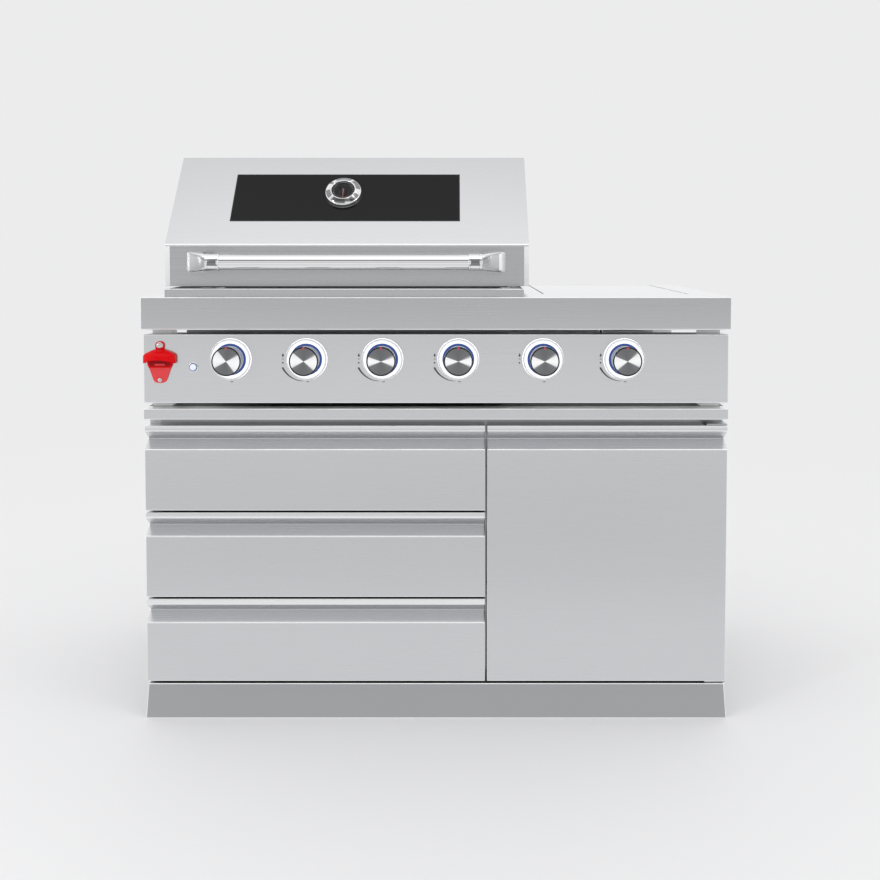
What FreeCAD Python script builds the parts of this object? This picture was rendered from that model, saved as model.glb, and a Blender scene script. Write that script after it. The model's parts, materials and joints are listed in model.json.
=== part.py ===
import FreeCAD, Part
import os
import re
import Sketcher

# Outdoor kitchen island: a steel cabinet with three drawers and a door, a gas
# grill with a hinged hood let into the worktop, and a side burner under a flush
# cover. Millimetres; X to the right, front towards -Y, Z up, the origin on the
# ground in the middle of the whole island.

sizes = {
    # worktop: a folded steel sheet with a deep front apron
    "worktop_width": 1264,
    "worktop_depth": 600,
    "worktop_height": 916,
    "worktop_sheet": 2,
    "apron_height": 70.5,
    "apron_return": 9,
    # sheet steel of the cabinet, and the clearances used all over
    "sheet": 1.2,
    "stout_sheet": 1.5,
    "running": 0.05,
    "slack": 0.5,
    # control panel under the worktop
    "panel_width": 1258,
    "panel_height": 149,
    "panel_setback": 8,
    "panel_gap": 9.5,
    # deck between the burner space and the cabinet, with its front lip
    "deck_gap": 12,
    "lip_height": 24,
    "lip_return": 12,
    "recess_height": 13,
    # cabinet carcass
    "carcass_width": 1256,
    "carcass_setback": 50,
    "rear_overhang": 10,
    "side_thickness": 25,
    "divider_thickness": 20,
    "divider_place": 108,
    "floor_thickness": 20,
    "rail_height": 40,
    "rail_depth": 24,
    "post_size": 42,
    "post_inset": 8,
    "end_plate_top": 116,
    # flared plinth
    "plinth_height": 74,
    "plinth_inset_top": 2,
    "plinth_flare": 4,
    "plinth_front_flare": 8,
    "plinth_flange": 60,
    "plinth_foot": 25,
    "plinth_gap": 4.5,
    # drawer and door fronts with a folded finger pull along the top
    "fronts_setback": 10,
    "fronts_clear": 3,
    "drawer_front_height": 185,
    "front_gap": 4.2,
    "centre_gap": 4.4,
    "bar_height": 12,
    "pinch_drop": 33,
    "pinch_depth": 30,
    "scoop_drop": 52,
    "front_screw_radius": 4,
    # drawer boxes and their runners
    "box_lift": 16,
    "box_depth": 486,
    "box_height": 112,
    "runner_space": 13,
    "runner_height": 40,
    "runner_overlap": 98,
    "bar_tall": 28,
    "drawer_travel": 400,
    # door on two pivot pins
    "pivot_inset": 8,
    "pivot_depth": 10,
    "pivot_radius": 4,
    "pivot_boss_radius": 7,
    "pivot_boss_length": 8,
    "pivot_plate": 3,
    "pivot_plate_width": 44,
    "pivot_tab": 26,
    "catch_width": 20,
    "catch_height": 46,
    # grill let into the worktop
    "grill_offset": -196.5,
    "grill_width": 716,
    "grill_front": 85,
    "grill_depth": 390,
    "cut_clearance": 2,
    "grill_flange": 18,
    "firebox_depth": 156,
    "hopper_depth": 50,
    "drain_width": 320,
    "drain_depth": 100,
    "frame_width": 770,
    "frame_front": 10,
    "frame_depth": 525,
    "frame_height": 17,
    "ledge_width": 10,
    "grate_drop": 32,
    "grate_rod": 4,
    "grate_gap": 4,
    "tamer_drop": 84,
    "tamer_width": 92,
    "tamer_height": 22,
    "shroud_height": 140,
    "shroud_setback": 452,
    "rear_burner_width": 420,
    "rear_burner_height": 84,
    "rear_burner_depth": 38,
    "rack_drop": 36,
    "rack_depth": 120,
    "rack_rod": 3,
    # hood
    "hood_width": 800,
    "hood_front": 68,
    "hood_gap": 3,
    "hood_face_height": 91,
    "hood_run": 167,
    "hood_rise": 204,
    "hood_top_depth": 195,
    "hood_back_run": 105,
    "hood_back_drop": 111,
    "hood_sheet": 1.5,
    "hood_side": 11,
    "hood_side_sheet": 2,
    "hood_pivot_inset": 40,
    "hood_pivot_height": 49,
    "hood_pin_radius": 5,
    "hood_pin_head": 8,
    "ear_thickness": 3,
    "ear_width": 44,
    "ear_step": 5,
    "ear_shoulder": 29,
    "window_width": 515,
    "window_height": 142,
    "window_middle": 139,
    "window_offset": -9,
    "glass_thickness": 4,
    "window_border": 16,
    # thermometer in the window
    "dial_offset": -17,
    "dial_middle": 150,
    "dial_radius": 42.5,
    "dial_face_radius": 28,
    "dial_depth": 20,
    "probe_radius": 4,
    "probe_length": 62,
    "dial_lip": 4,
    "dial_rim": 6,
    "dial_floor": 10,
    "lens_inset": 1,
    "lens_thickness": 3,
    "needle_seat": 5,
    "needle_length": 23,
    "needle_tail": 6,
    "needle_pin": 1.5,
    "needle_thickness": 1,
    # hood handle
    "handle_length": 532,
    "handle_radius": 16,
    "handle_stand": 58,
    "handle_height": 54,
    "bar_wall": 2,
    "bar_grip": 18,
    "socket_length": 30,
    "socket_wall": 2.5,
    "foot_spread": 52,
    "foot_width": 36,
    "foot_edge": 5,
    "foot_height": 47,
    # knobs, their light rings, valves and gas pipe
    "knob_height": 95,
    "burner_pitch": 162.9,
    "rear_knob_place": 230,
    "side_place": 404,
    "knob_radius": 31,
    "knob_waist": 28,
    "knob_reach": 45,
    "knob_edge": 1.5,
    "knob_cap": 9,
    "knob_taper": 13.5,
    "knob_clear": 2,
    "stem_radius": 4,
    "stem_length": 34,
    "stem_hole_radius": 7,
    "light_ring_depth": 5,
    "bezel_inner_radius": 40.5,
    "bezel_radius": 44,
    "bezel_depth": 8,
    "valve_width": 26,
    "valve_neck": 8,
    "valve_neck_radius": 10,
    "valve_depth": 32,
    "valve_height": 34,
    "pipe_radius": 9,
    "pipe_drop": 20,
    "pipe_end": 60,
    "pipe_clearance": 9,
    "burner_radius": 15,
    "burner_wall": 1.2,
    "inlet_radius": 10.5,
    "inlet_bore": 6,
    "inlet_length": 30,
    "feed_radius": 5,
    "riser_place": 150,
    "riser_setback": 9.5,
    # light button
    "button_place": -521,
    "button_height": 78,
    "button_radius": 7,
    "button_rim": 11,
    "button_rim_stand": 2,
    "button_barrel": 9,
    "button_depth": 16,
    "button_edge": 1,
    "button_lip": 0.6,
    "button_spare": 2.5,
    "button_stand": 5,
    "button_travel": 2.5,
    # bottle opener
    "opener_place": -591.5,
    "opener_height": 89,
    "opener_width": 70,
    "opener_tall": 90,
    "opener_plate": 6,
    "opener_reach": 26,
    "opener_screw_radius": 2.5,
    "opener_screw_head": 5,
    # side burner under its flush cover
    "cover_width": 324,
    "cover_front": 134,
    "cover_depth": 448,
    "cover_thickness": 12,
    "cover_gap": 3,
    "cover_pin_radius": 2,
    "pan_depth": 64,
    "pan_flange": 7,
    "head_radius": 52,
    "throat_radius": 20,
    "throat_height": 10,
    "bowl_height": 11,
    "crown_radius": 44,
    "crown_height": 5,
    "support_drop": 10,
    "support_reach": 100,
    "support_rod": 4,
    # grease tray on its rails, drawn out at the back
    "tray_width": 340,
    "tray_hold": 60,
    "tray_height": 22,
    "tray_clear": 3,
    "tray_lift": 5,
    "tray_pull": 110,
    "tray_travel": 380,
    # back panel
    "louvre_width": 160,
    "louvre_height": 6,
    "louvre_pitch": 16,
    "louvre_count": 6,
    "hose_hole_radius": 30,
}

os.makedirs("parts", exist_ok=True)
doc = FreeCAD.newDocument("OutdoorKitchenIsland")
sheet = doc.addObject("Spreadsheet::Sheet", "Sizes")
for row, (word, number) in enumerate(sizes.items(), start=1):
    sheet.set(f"A{row}", word)
    sheet.set(f"B{row}", str(number))
    sheet.setAlias(f"B{row}", word)
doc.recompute()

nodes = {}

# Places that several pieces share, as expressions in the sheet's sizes
apron_bottom = "(worktop_height - apron_height)"
worktop_under = "(worktop_height - worktop_sheet)"
panel_top = f"({apron_bottom} - panel_gap)"
panel_bottom = f"({panel_top} - panel_height)"
deck_top = f"({panel_bottom} - deck_gap)"
deck_under = f"({deck_top} - stout_sheet)"
fronts_top = f"({deck_top} - lip_height - recess_height)"
fronts_bottom = "(plinth_height + plinth_gap)"
floor_top = "(plinth_height + floor_thickness)"

front = "(-(worktop_depth + panel_setback - knob_reach) / 2)"
back = f"({front} + worktop_depth)"
panel_face = f"({front} + panel_setback)"
panel_back = f"({panel_face} + stout_sheet)"
fronts_face = f"({front} + fronts_setback)"
carcass_face = f"({front} + carcass_setback)"
carcass_back = f"({back} - rear_overhang)"
side_back = f"({carcass_back} - sheet)"
fronts_back = f"({carcass_face} - fronts_clear)"

carcass_left = "(-carcass_width / 2)"
carcass_right = "(carcass_width / 2)"
left_wall = f"({carcass_left} + side_thickness)"
right_wall = f"({carcass_right} - side_thickness)"
divider_left = "(divider_place - divider_thickness / 2)"
divider_right = "(divider_place + divider_thickness / 2)"

grill_left = "(grill_offset - grill_width / 2)"
grill_right = "(grill_offset + grill_width / 2)"
grill_front_wall = f"({front} + grill_front)"
grill_back_wall = f"({grill_front_wall} + grill_depth)"
firebox_bottom = "(worktop_height - firebox_depth)"
hopper_bottom = f"({firebox_bottom} - hopper_depth)"
frame_top = "(worktop_height + frame_height)"
frame_front_wall = f"({front} + frame_front)"
frame_back_wall = f"({frame_front_wall} + frame_depth)"
shroud_face = f"({front} + shroud_setback)"

hood_left = "(grill_offset - hood_width / 2)"
hood_right = "(grill_offset + hood_width / 2)"
hood_face = f"({front} + hood_front)"
hood_bottom = f"({frame_top} + hood_gap)"
slope_foot = f"({hood_bottom} + hood_face_height)"
hood_top = f"({slope_foot} + hood_rise)"
hood_crest = f"({hood_face} + hood_run)"
hood_top_back = f"({hood_crest} + hood_top_depth)"
hood_back = f"({hood_top_back} + hood_back_run)"
hood_pivot_y = f"({hood_back} - hood_pivot_inset)"
hood_pivot_z = f"({hood_bottom} + hood_pivot_height)"
slope_length = "sqrt(hood_run ^ 2 + hood_rise ^ 2)"

knob_level = f"({panel_bottom} + knob_height)"
pipe_y = f"({panel_back} + valve_neck + valve_depth / 2)"
pipe_level = f"({knob_level} - pipe_drop)"
valve_back = f"({panel_back} + valve_neck + valve_depth)"
riser_x = "(grill_offset + riser_place)"
riser_y = f"({grill_back_wall} + riser_setback)"
knob_places = [f"(grill_offset + {step} * burner_pitch)" for step in (-1.5, -0.5, 0.5, 1.5)]
main_burner_count = len(knob_places)
knob_places += ["rear_knob_place", "side_place"]

cover_left = "(side_place - cover_width / 2)"
cover_right = "(side_place + cover_width / 2)"
cover_front_edge = f"({front} + cover_front)"
cover_back_edge = f"({cover_front_edge} + cover_depth)"
cover_under = "(worktop_height - cover_thickness)"
pan_left = f"({cover_left} - cover_gap)"
pan_right = f"({cover_right} + cover_gap)"
pan_front = f"({cover_front_edge} - cover_gap)"
pan_back = f"({cover_back_edge} + cover_gap)"
pan_bottom = "(worktop_height - pan_depth)"
cover_pin_y = f"({cover_back_edge} - cover_thickness / 2)"
cover_pin_z = "(worktop_height - cover_thickness / 2)"
side_burner_y = f"(({cover_front_edge} + {cover_back_edge}) / 2)"

tray_left = "(grill_offset - tray_width / 2)"
tray_right = "(grill_offset + tray_width / 2)"
tray_bottom = f"({deck_top} + tray_lift)"
tray_back = f"({carcass_back} + sheet)"
tray_front = f"({tray_back} - tray_travel - tray_hold)"

drawer_left = carcass_left
drawer_right = "(divider_place - centre_gap / 2)"
door_left = "(divider_place + centre_gap / 2)"
door_right = carcass_right
door_pivot_x = f"({door_right} - pivot_inset)"
door_pivot_y = f"({fronts_face} + pivot_depth)"
box_left = f"({left_wall} + runner_space)"
box_right = f"({divider_left} - runner_space)"


def bound(text):
    """Put the sheet's name before every size in an expression."""
    def mark(word):
        return "Sizes." + word.group() if word.group() in sizes else word.group()
    return re.sub(r"[a-z]\w*", mark, str(text))


def value(text):
    """An expression worked out as a plain number."""
    found = sheet.evalExpression(bound(text))
    return float(getattr(found, "Value", found))


def drive(item, prop, text):
    """Bind one property of an object to an expression."""
    item.setExpression(prop, bound(text))


def keep(node, item):
    """Name the finished object after its node and list it for export."""
    item.Label = node
    nodes[node] = item
    return item


def box(name, x, y, z):
    """A block between two expressions on each axis."""
    block = doc.addObject("Part::Box", name)
    for size, letter, span in (("Length", "x", x), ("Width", "y", y), ("Height", "z", z)):
        drive(block, size, f"({span[1]}) - ({span[0]})")
        drive(block, "Placement.Base." + letter, span[0])
    return block


def rod(name, axis, radius, at, span):
    """A cylinder along one axis, its centre line through the pair at."""
    turns = {
        "x": FreeCAD.Rotation(FreeCAD.Vector(0, 1, 0), 90),
        "y": FreeCAD.Rotation(FreeCAD.Vector(1, 0, 0), -90),
        "z": FreeCAD.Rotation(),
    }
    cylinder = doc.addObject("Part::Cylinder", name)
    cylinder.Placement = FreeCAD.Placement(FreeCAD.Vector(), turns[axis])
    drive(cylinder, "Radius", radius)
    drive(cylinder, "Height", f"({span[1]}) - ({span[0]})")
    drive(cylinder, "Placement.Base." + axis, span[0])
    for letter, place in zip([word for word in "xyz" if word != axis], at):
        drive(cylinder, "Placement.Base." + letter, place)
    return cylinder


def fuse(name, parts):
    """One solid from several that touch or overlap."""
    joined = doc.addObject("Part::MultiFuse", name)
    joined.Shapes = parts
    joined.Refine = True
    return joined


def cut(name, base, tools):
    """A piece less one or more others."""
    less = doc.addObject("Part::Cut", name)
    less.Base = base
    less.Tool = tools[0] if len(tools) == 1 else fuse(name + "_tools", tools)
    less.Refine = True
    return less


def group(name, parts):
    """Several like solids that share one node."""
    bundle = doc.addObject("Part::Compound", name)
    bundle.Links = parts
    return bundle


def draw(sketch, points, closed):
    """Draw a polygon in a sketch, each corner bound to its two expressions."""
    corners = [FreeCAD.Vector(value(across), value(up), 0) for across, up in points]
    count = len(corners)
    for index in range(count if closed else count - 1):
        line = Part.LineSegment(corners[index], corners[(index + 1) % count])
        sketch.addGeometry(line, False)
    for index in range(count if closed else count - 2):
        sketch.addConstraint(Sketcher.Constraint("Coincident", index, 2, (index + 1) % count, 1))
    for index, (across, up) in enumerate(points):
        line, end = (index, 1) if closed or index < count - 1 else (index - 1, 2)
        for kind, text, number in (
            ("DistanceX", across, corners[index].x),
            ("DistanceY", up, corners[index].y),
        ):
            rule = sketch.addConstraint(Sketcher.Constraint(kind, -1, 1, line, end, number))
            sketch.setExpression(f"Constraints[{rule}]", bound(text))


def body_sketch(name, plane, points):
    """A body with a closed sketch on one of its origin planes."""
    body = doc.addObject("PartDesign::Body", name)
    sketch = body.newObject("Sketcher::SketchObject", name + "_sketch")
    planes = {item.Role: item for item in body.Origin.OriginFeatures}
    sketch.AttachmentSupport = (planes[plane + "_Plane"], [""])
    sketch.MapMode = "FlatFace"
    draw(sketch, points, True)
    return body, sketch


def prism(name, plane, points, span):
    """A polygon on the XY, XZ or YZ plane padded across the span."""
    body, sketch = body_sketch(name, plane, points)
    start = f"-({span[1]})" if plane == "XZ" else span[0]
    drive(sketch, "AttachmentOffset.Base.z", start)
    pad = body.newObject("PartDesign::Pad", name + "_pad")
    pad.Profile = sketch
    drive(pad, "Length", f"({span[1]}) - ({span[0]})")
    return body


def turned(name, points, place):
    """A turned piece: radius and distance along Y, revolved and put in its place."""
    body, sketch = body_sketch(name, "XY", points)
    revolution = body.newObject("PartDesign::Revolution", name + "_turn")
    revolution.Profile = sketch
    revolution.ReferenceAxis = (sketch, ["V_Axis"])
    revolution.Angle = 360
    for letter, text in zip("xyz", place):
        drive(body, "Placement.Base." + letter, text)
    return body


def folded(name, points, thickness, span):
    """Sheet metal folded along a profile in Y and Z, thick to the right of its line."""
    sketch = doc.addObject("Sketcher::SketchObject", name + "_line")
    sketch.Placement = FreeCAD.Placement(
        FreeCAD.Vector(), FreeCAD.Rotation(FreeCAD.Vector(1, 1, 1), 120)
    )
    draw(sketch, points, False)
    drive(sketch, "Placement.Base.x", span[0])
    band = doc.addObject("Part::Offset2D", name + "_band")
    band.Source = sketch
    band.Mode = "Skin"
    band.Join = "Intersection"
    band.Fill = True
    drive(band, "Value", thickness)
    strip = doc.addObject("Part::Extrusion", name)
    strip.Base = band
    strip.DirMode = "Custom"
    strip.Dir = (1, 0, 0)
    strip.Solid = True
    drive(strip, "LengthFwd", f"({span[1]}) - ({span[0]})")
    return strip


def inset(span, amount):
    """A span made shorter at both ends."""
    return (f"{span[0]} + {amount}", f"{span[1]} - {amount}")


def about(middle, half):
    """A span on both sides of a middle."""
    return (f"{middle} - {half}", f"{middle} + {half}")


def make_plinth():
    """Flared kick base: four folded walls, a flange under the cabinet and one on the ground."""
    def wedge(name, wall):
        half = f"carcass_width / 2 - plinth_inset_top - {wall}"
        piece = doc.addObject("Part::Wedge", name)
        piece.Placement = FreeCAD.Placement(
            FreeCAD.Vector(), FreeCAD.Rotation(FreeCAD.Vector(1, 0, 0), 90)
        )
        drive(piece, "Xmin", f"-({half}) - plinth_flare")
        drive(piece, "Xmax", f"{half} + plinth_flare")
        drive(piece, "X2min", f"-({half})")
        drive(piece, "X2max", half)
        drive(piece, "Ymin", wall)
        drive(piece, "Ymax", f"plinth_height - {wall}")
        drive(piece, "Zmin", f"-({carcass_back} - {wall})")
        drive(piece, "Z2min", f"-({carcass_back} - {wall})")
        drive(piece, "Zmax", f"-({fronts_face} - plinth_front_flare + {wall})")
        drive(piece, "Z2max", f"-({fronts_face} + {wall})")
        return piece

    mouth = box(
        "plinth_mouth",
        inset((carcass_left, carcass_right), "plinth_flange"),
        inset((carcass_face, carcass_back), "plinth_flange"),
        ("plinth_height - stout_sheet * 2", "plinth_height + stout_sheet"),
    )
    underside = box(
        "plinth_underside",
        inset((carcass_left, carcass_right), "plinth_foot"),
        inset((fronts_face, carcass_back), "plinth_foot"),
        ("-stout_sheet", "stout_sheet * 2"),
    )
    walls = wedge("plinth_outer", "0")
    keep("plinth", cut("plinth_walls", walls, [wedge("plinth_inner", "stout_sheet"), mouth, underside]))


def make_carcass():
    """Floor pan, double side panels, divider, top rail and deck of the cabinet."""
    floor_x = (left_wall, right_wall)
    floor_y = (carcass_face, side_back)
    floor_z = ("plinth_height", floor_top)
    pan = box("floor_outer", floor_x, floor_y, floor_z)
    hollow = box(
        "floor_hollow", inset(floor_x, "sheet"), inset(floor_y, "sheet"), (floor_z[0], f"{floor_top} - sheet")
    )
    keep("cabinet_floor", cut("floor_pan", pan, [hollow]))

    side_z = ("plinth_height", deck_under)
    sides = []
    for side, span in (("left", (carcass_left, left_wall)), ("right", (right_wall, carcass_right))):
        skin = box(side + "_outer", span, floor_y, side_z)
        core = box(side + "_core", inset(span, "sheet"), inset(floor_y, "sheet"), side_z)
        sides.append(cut(side + "_side", skin, [core]))
    keep("side_panels", group("side_pair", sides))

    wall_x = (divider_left, divider_right)
    wall_z = (floor_top, f"{deck_under} - rail_height")
    wall = box("divider_outer", wall_x, floor_y, wall_z)
    core = box("divider_core", inset(wall_x, "sheet"), inset(floor_y, "sheet"), wall_z)
    keep("centre_divider", cut("divider", wall, [core]))

    rail_y = (carcass_face, f"{carcass_face} + rail_depth")
    rail_z = (f"{deck_under} - rail_height", deck_under)
    rail = box("rail_outer", floor_x, rail_y, rail_z)
    core = box("rail_core", floor_x, inset(rail_y, "sheet"), inset(rail_z, "sheet"))
    keep("front_rail", cut("rail", rail, [core]))

    deck_x = (carcass_left, carcass_right)
    top = box("deck_sheet", deck_x, (panel_face, side_back), (deck_under, deck_top))
    lip = box("deck_lip", deck_x, (panel_face, panel_back), (f"{deck_top} - lip_height", deck_top))
    curl = box(
        "deck_return",
        deck_x,
        (panel_face, f"{panel_face} + lip_return"),
        (f"{deck_top} - lip_height", f"{deck_top} - lip_height + stout_sheet"),
    )
    keep("deck", fuse("deck_body", [top, lip, curl]))


def make_posts():
    """Four square posts that carry the worktop, and the plates that close the ends."""
    places = (
        ("left", f"{carcass_left} + post_inset", f"{carcass_left} + post_inset + post_size"),
        ("right", f"{carcass_right} - post_inset - post_size", f"{carcass_right} - post_inset"),
    )
    rows = (
        ("front", carcass_face, f"{carcass_face} + post_size"),
        ("rear", f"{side_back} - post_size", side_back),
    )
    posts = []
    height = (deck_top, worktop_under)
    for side, x_start, x_end in places:
        for row, y_start, y_end in rows:
            name = f"{side}_{row}_post"
            tube = box(name + "_outer", (x_start, x_end), (y_start, y_end), height)
            core = box(
                name + "_core",
                inset((x_start, x_end), "stout_sheet"),
                inset((y_start, y_end), "stout_sheet"),
                height,
            )
            posts.append(cut(name, tube, [core]))
    keep("corner_posts", group("posts", posts))

    plate_z = (deck_top, f"{deck_top} + end_plate_top")
    plate_y = (carcass_face, side_back)
    left = box(
        "left_plate",
        (f"{carcass_left} + post_inset - sheet", f"{carcass_left} + post_inset"),
        plate_y,
        plate_z,
    )
    right = box(
        "right_plate",
        (f"{carcass_right} - post_inset", f"{carcass_right} - post_inset + sheet"),
        plate_y,
        plate_z,
    )
    keep("end_plates", group("plates", [left, right]))


def make_rear_panel():
    """Back sheet with louvre slots, a hose hole and the grease tray's way out."""
    panel = box(
        "rear_sheet",
        (carcass_left, carcass_right),
        (side_back, carcass_back),
        ("plinth_height", f"{deck_top} + end_plate_top"),
    )
    through = (f"{side_back} - sheet", f"{carcass_back} + sheet")
    openings = [
        rod(
            "hose_hole",
            "y",
            "hose_hole_radius",
            (f"({divider_right} + {right_wall}) / 2", f"{floor_top} + hose_hole_radius * 2"),
            through,
        ),
        box(
            "tray_slot",
            (f"{tray_left} - tray_clear", f"{tray_right} + tray_clear"),
            through,
            (deck_top, f"{tray_bottom} + tray_height + tray_clear"),
        ),
    ]
    bays = {
        "drawers": f"({left_wall} + {divider_left}) / 2",
        "bay": f"({divider_right} + {right_wall}) / 2",
    }
    for bay, middle in bays.items():
        for step in range(sizes["louvre_count"]):
            level = f"{deck_under} - rail_height - {step + 1} * louvre_pitch"
            openings.append(
                box(
                    f"{bay}_louvre_{step}",
                    about(middle, "louvre_width / 2"),
                    through,
                    about(level, "louvre_height / 2"),
                )
            )
    keep("rear_panel", cut("rear", panel, openings))


def make_worktop():
    """Worktop sheet with its apron all round and the two cut-outs."""
    top_x = ("-worktop_width / 2", "worktop_width / 2")
    top_y = (front, back)
    slab = box("worktop_outer", top_x, top_y, (apron_bottom, "worktop_height"))
    hollow = box(
        "worktop_hollow",
        inset(top_x, "worktop_sheet"),
        inset(top_y, "worktop_sheet"),
        (f"{apron_bottom} + worktop_sheet", worktop_under),
    )
    mouth = box(
        "worktop_mouth",
        inset(top_x, "apron_return"),
        inset(top_y, "apron_return"),
        (f"{apron_bottom} - worktop_sheet", f"{apron_bottom} + worktop_sheet * 2"),
    )
    through = (f"{worktop_under} - worktop_sheet", "worktop_height + worktop_sheet")
    grill_hole = box(
        "grill_hole",
        (f"{grill_left} - cut_clearance", f"{grill_right} + cut_clearance"),
        (f"{grill_front_wall} - cut_clearance", f"{grill_back_wall} + cut_clearance"),
        through,
    )
    cover_hole = box("cover_hole", (pan_left, pan_right), (pan_front, pan_back), through)
    holes = [hollow, mouth, grill_hole, cover_hole, riser_hole("worktop_riser")]
    keep("worktop", cut("top", slab, holes))


def make_control_panel():
    """Folded control panel with its holes for stems, button and screws."""
    face_x = ("-panel_width / 2", "panel_width / 2")
    face_z = (panel_bottom, panel_top)
    outer = box("panel_outer", face_x, (panel_face, carcass_face), face_z)
    hollow = box(
        "panel_hollow",
        inset(face_x, "stout_sheet"),
        (panel_back, f"{carcass_face} + sheet"),
        inset(face_z, "stout_sheet"),
    )
    through = (f"{panel_face} - sheet", f"{panel_back} + sheet")
    holes = [hollow]
    for index, place in enumerate(knob_places, start=1):
        holes.append(rod(f"stem_hole_{index}", "y", "stem_hole_radius", (place, knob_level), through))
    button_at = ("button_place", f"{panel_bottom} + button_height")
    holes.append(rod("button_hole", "y", "button_barrel", button_at, through))
    for index, level in enumerate(opener_screw_levels(), start=1):
        holes.append(
            rod(f"opener_hole_{index}", "y", "opener_screw_radius", ("opener_place", level), through)
        )
    keep("control_panel", cut("panel", outer, holes))


def opener_middle():
    """Height of the bottle opener's middle."""
    return f"({panel_bottom} + opener_height)"


def opener_screw_levels():
    """Heights of the opener's two screws."""
    return [f"{opener_middle()} + opener_tall * 0.4", f"{opener_middle()} - opener_tall * 0.39"]


def make_opener():
    """Cast bottle opener: a tapered plate with a hooded mouth, and its two screws."""
    middle = opener_middle()
    # half outline of the plate, as shares of its width and height
    half = (
        (0.11, 0.5),
        (0.13, 0.33),
        (0.34, 0.24),
        (0.5, 0.14),
        (0.47, 0.0),
        (0.33, -0.16),
        (0.25, -0.38),
        (0.1, -0.5),
    )
    right_side = [(f"opener_place + {u} * opener_width", f"{middle} + {v} * opener_tall") for u, v in half]
    left_side = [
        (f"opener_place - {u} * opener_width", f"{middle} + {v} * opener_tall") for u, v in reversed(half)
    ]
    plate_y = (f"{panel_face} - opener_plate", panel_face)
    plate = prism("opener_plate_body", "XZ", right_side + left_side, plate_y)
    hood = box(
        "opener_hood",
        about("opener_place", "opener_width * 0.42"),
        (f"{panel_face} - opener_reach", f"{panel_face} - opener_plate"),
        (f"{middle} - opener_tall * 0.06", f"{middle} + opener_tall * 0.2"),
    )
    mouth = box(
        "opener_mouth",
        about("opener_place", "opener_width * 0.32"),
        (f"{panel_face} - opener_reach + opener_plate", f"{panel_face} - opener_plate"),
        (f"{middle} - opener_tall * 0.1", f"{middle} + opener_tall * 0.12"),
    )
    casting = fuse("opener_casting", [plate, hood])
    screws = []
    holes = [mouth]
    for index, level in enumerate(opener_screw_levels(), start=1):
        at = ("opener_place", level)
        shank = (f"{panel_face} - opener_plate - sheet", f"{panel_back} + 4 * stout_sheet")
        bore = (f"{panel_face} - opener_reach", panel_face)
        holes.append(rod(f"opener_bore_{index}", "y", "opener_screw_radius", at, bore))
        bolt = rod(f"opener_shank_{index}", "y", "opener_screw_radius", at, shank)
        head_span = (f"{panel_face} - opener_plate - 2 * stout_sheet", f"{panel_face} - opener_plate")
        head = rod(f"opener_head_{index}", "y", "opener_screw_head", at, head_span)
        screws.append(fuse(f"opener_screw_{index}", [bolt, head]))
    keep("bottle_opener", cut("opener", casting, holes))
    keep("opener_screws", group("opener_screw_pair", screws))


def front_profile(top, bottom):
    """Side view of a front, from its lower back edge round to its upper back edge."""
    return [
        (fronts_back, bottom),
        (fronts_face, bottom),
        (fronts_face, f"{top} - scoop_drop"),
        (f"{fronts_face} + pinch_depth", f"{top} - pinch_drop"),
        (fronts_face, f"{top} - bar_height"),
        (fronts_face, top),
        (fronts_back, top),
    ]


def front_pan(name, span, top, bottom):
    """A hollow folded front with end plates and a back sheet, and a finger pull."""
    points = front_profile(top, bottom)
    skin = folded(name + "_skin", points, "sheet", span)
    ends = [
        prism(name + "_left_end", "YZ", points, (span[0], f"{span[0]} + sheet")),
        prism(name + "_right_end", "YZ", points, (f"{span[1]} - sheet", span[1])),
    ]
    back_sheet = box(name + "_back", span, (f"{fronts_back} - sheet", fronts_back), (bottom, top))
    screw_holes = [
        rod(
            f"{name}_screw_hole_{index}",
            "y",
            "front_screw_radius",
            (place, f"{bottom} + scoop_drop"),
            (f"{fronts_back} - 2 * sheet", f"{fronts_back} + sheet"),
        )
        for index, place in enumerate(inset(span, "scoop_drop * 2"), start=1)
    ]
    return cut(name + "_pan", fuse(name + "_shell", [skin, *ends, back_sheet]), screw_holes)


def drawer_levels():
    """Upper and lower edge of each drawer front, from the top drawer down."""
    step = "(drawer_front_height + front_gap)"
    return [
        (fronts_top, f"({fronts_top} - drawer_front_height)"),
        (f"({fronts_top} - {step})", f"({fronts_top} - {step} - drawer_front_height)"),
        (f"({fronts_top} - 2 * {step})", fronts_bottom),
    ]


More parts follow.
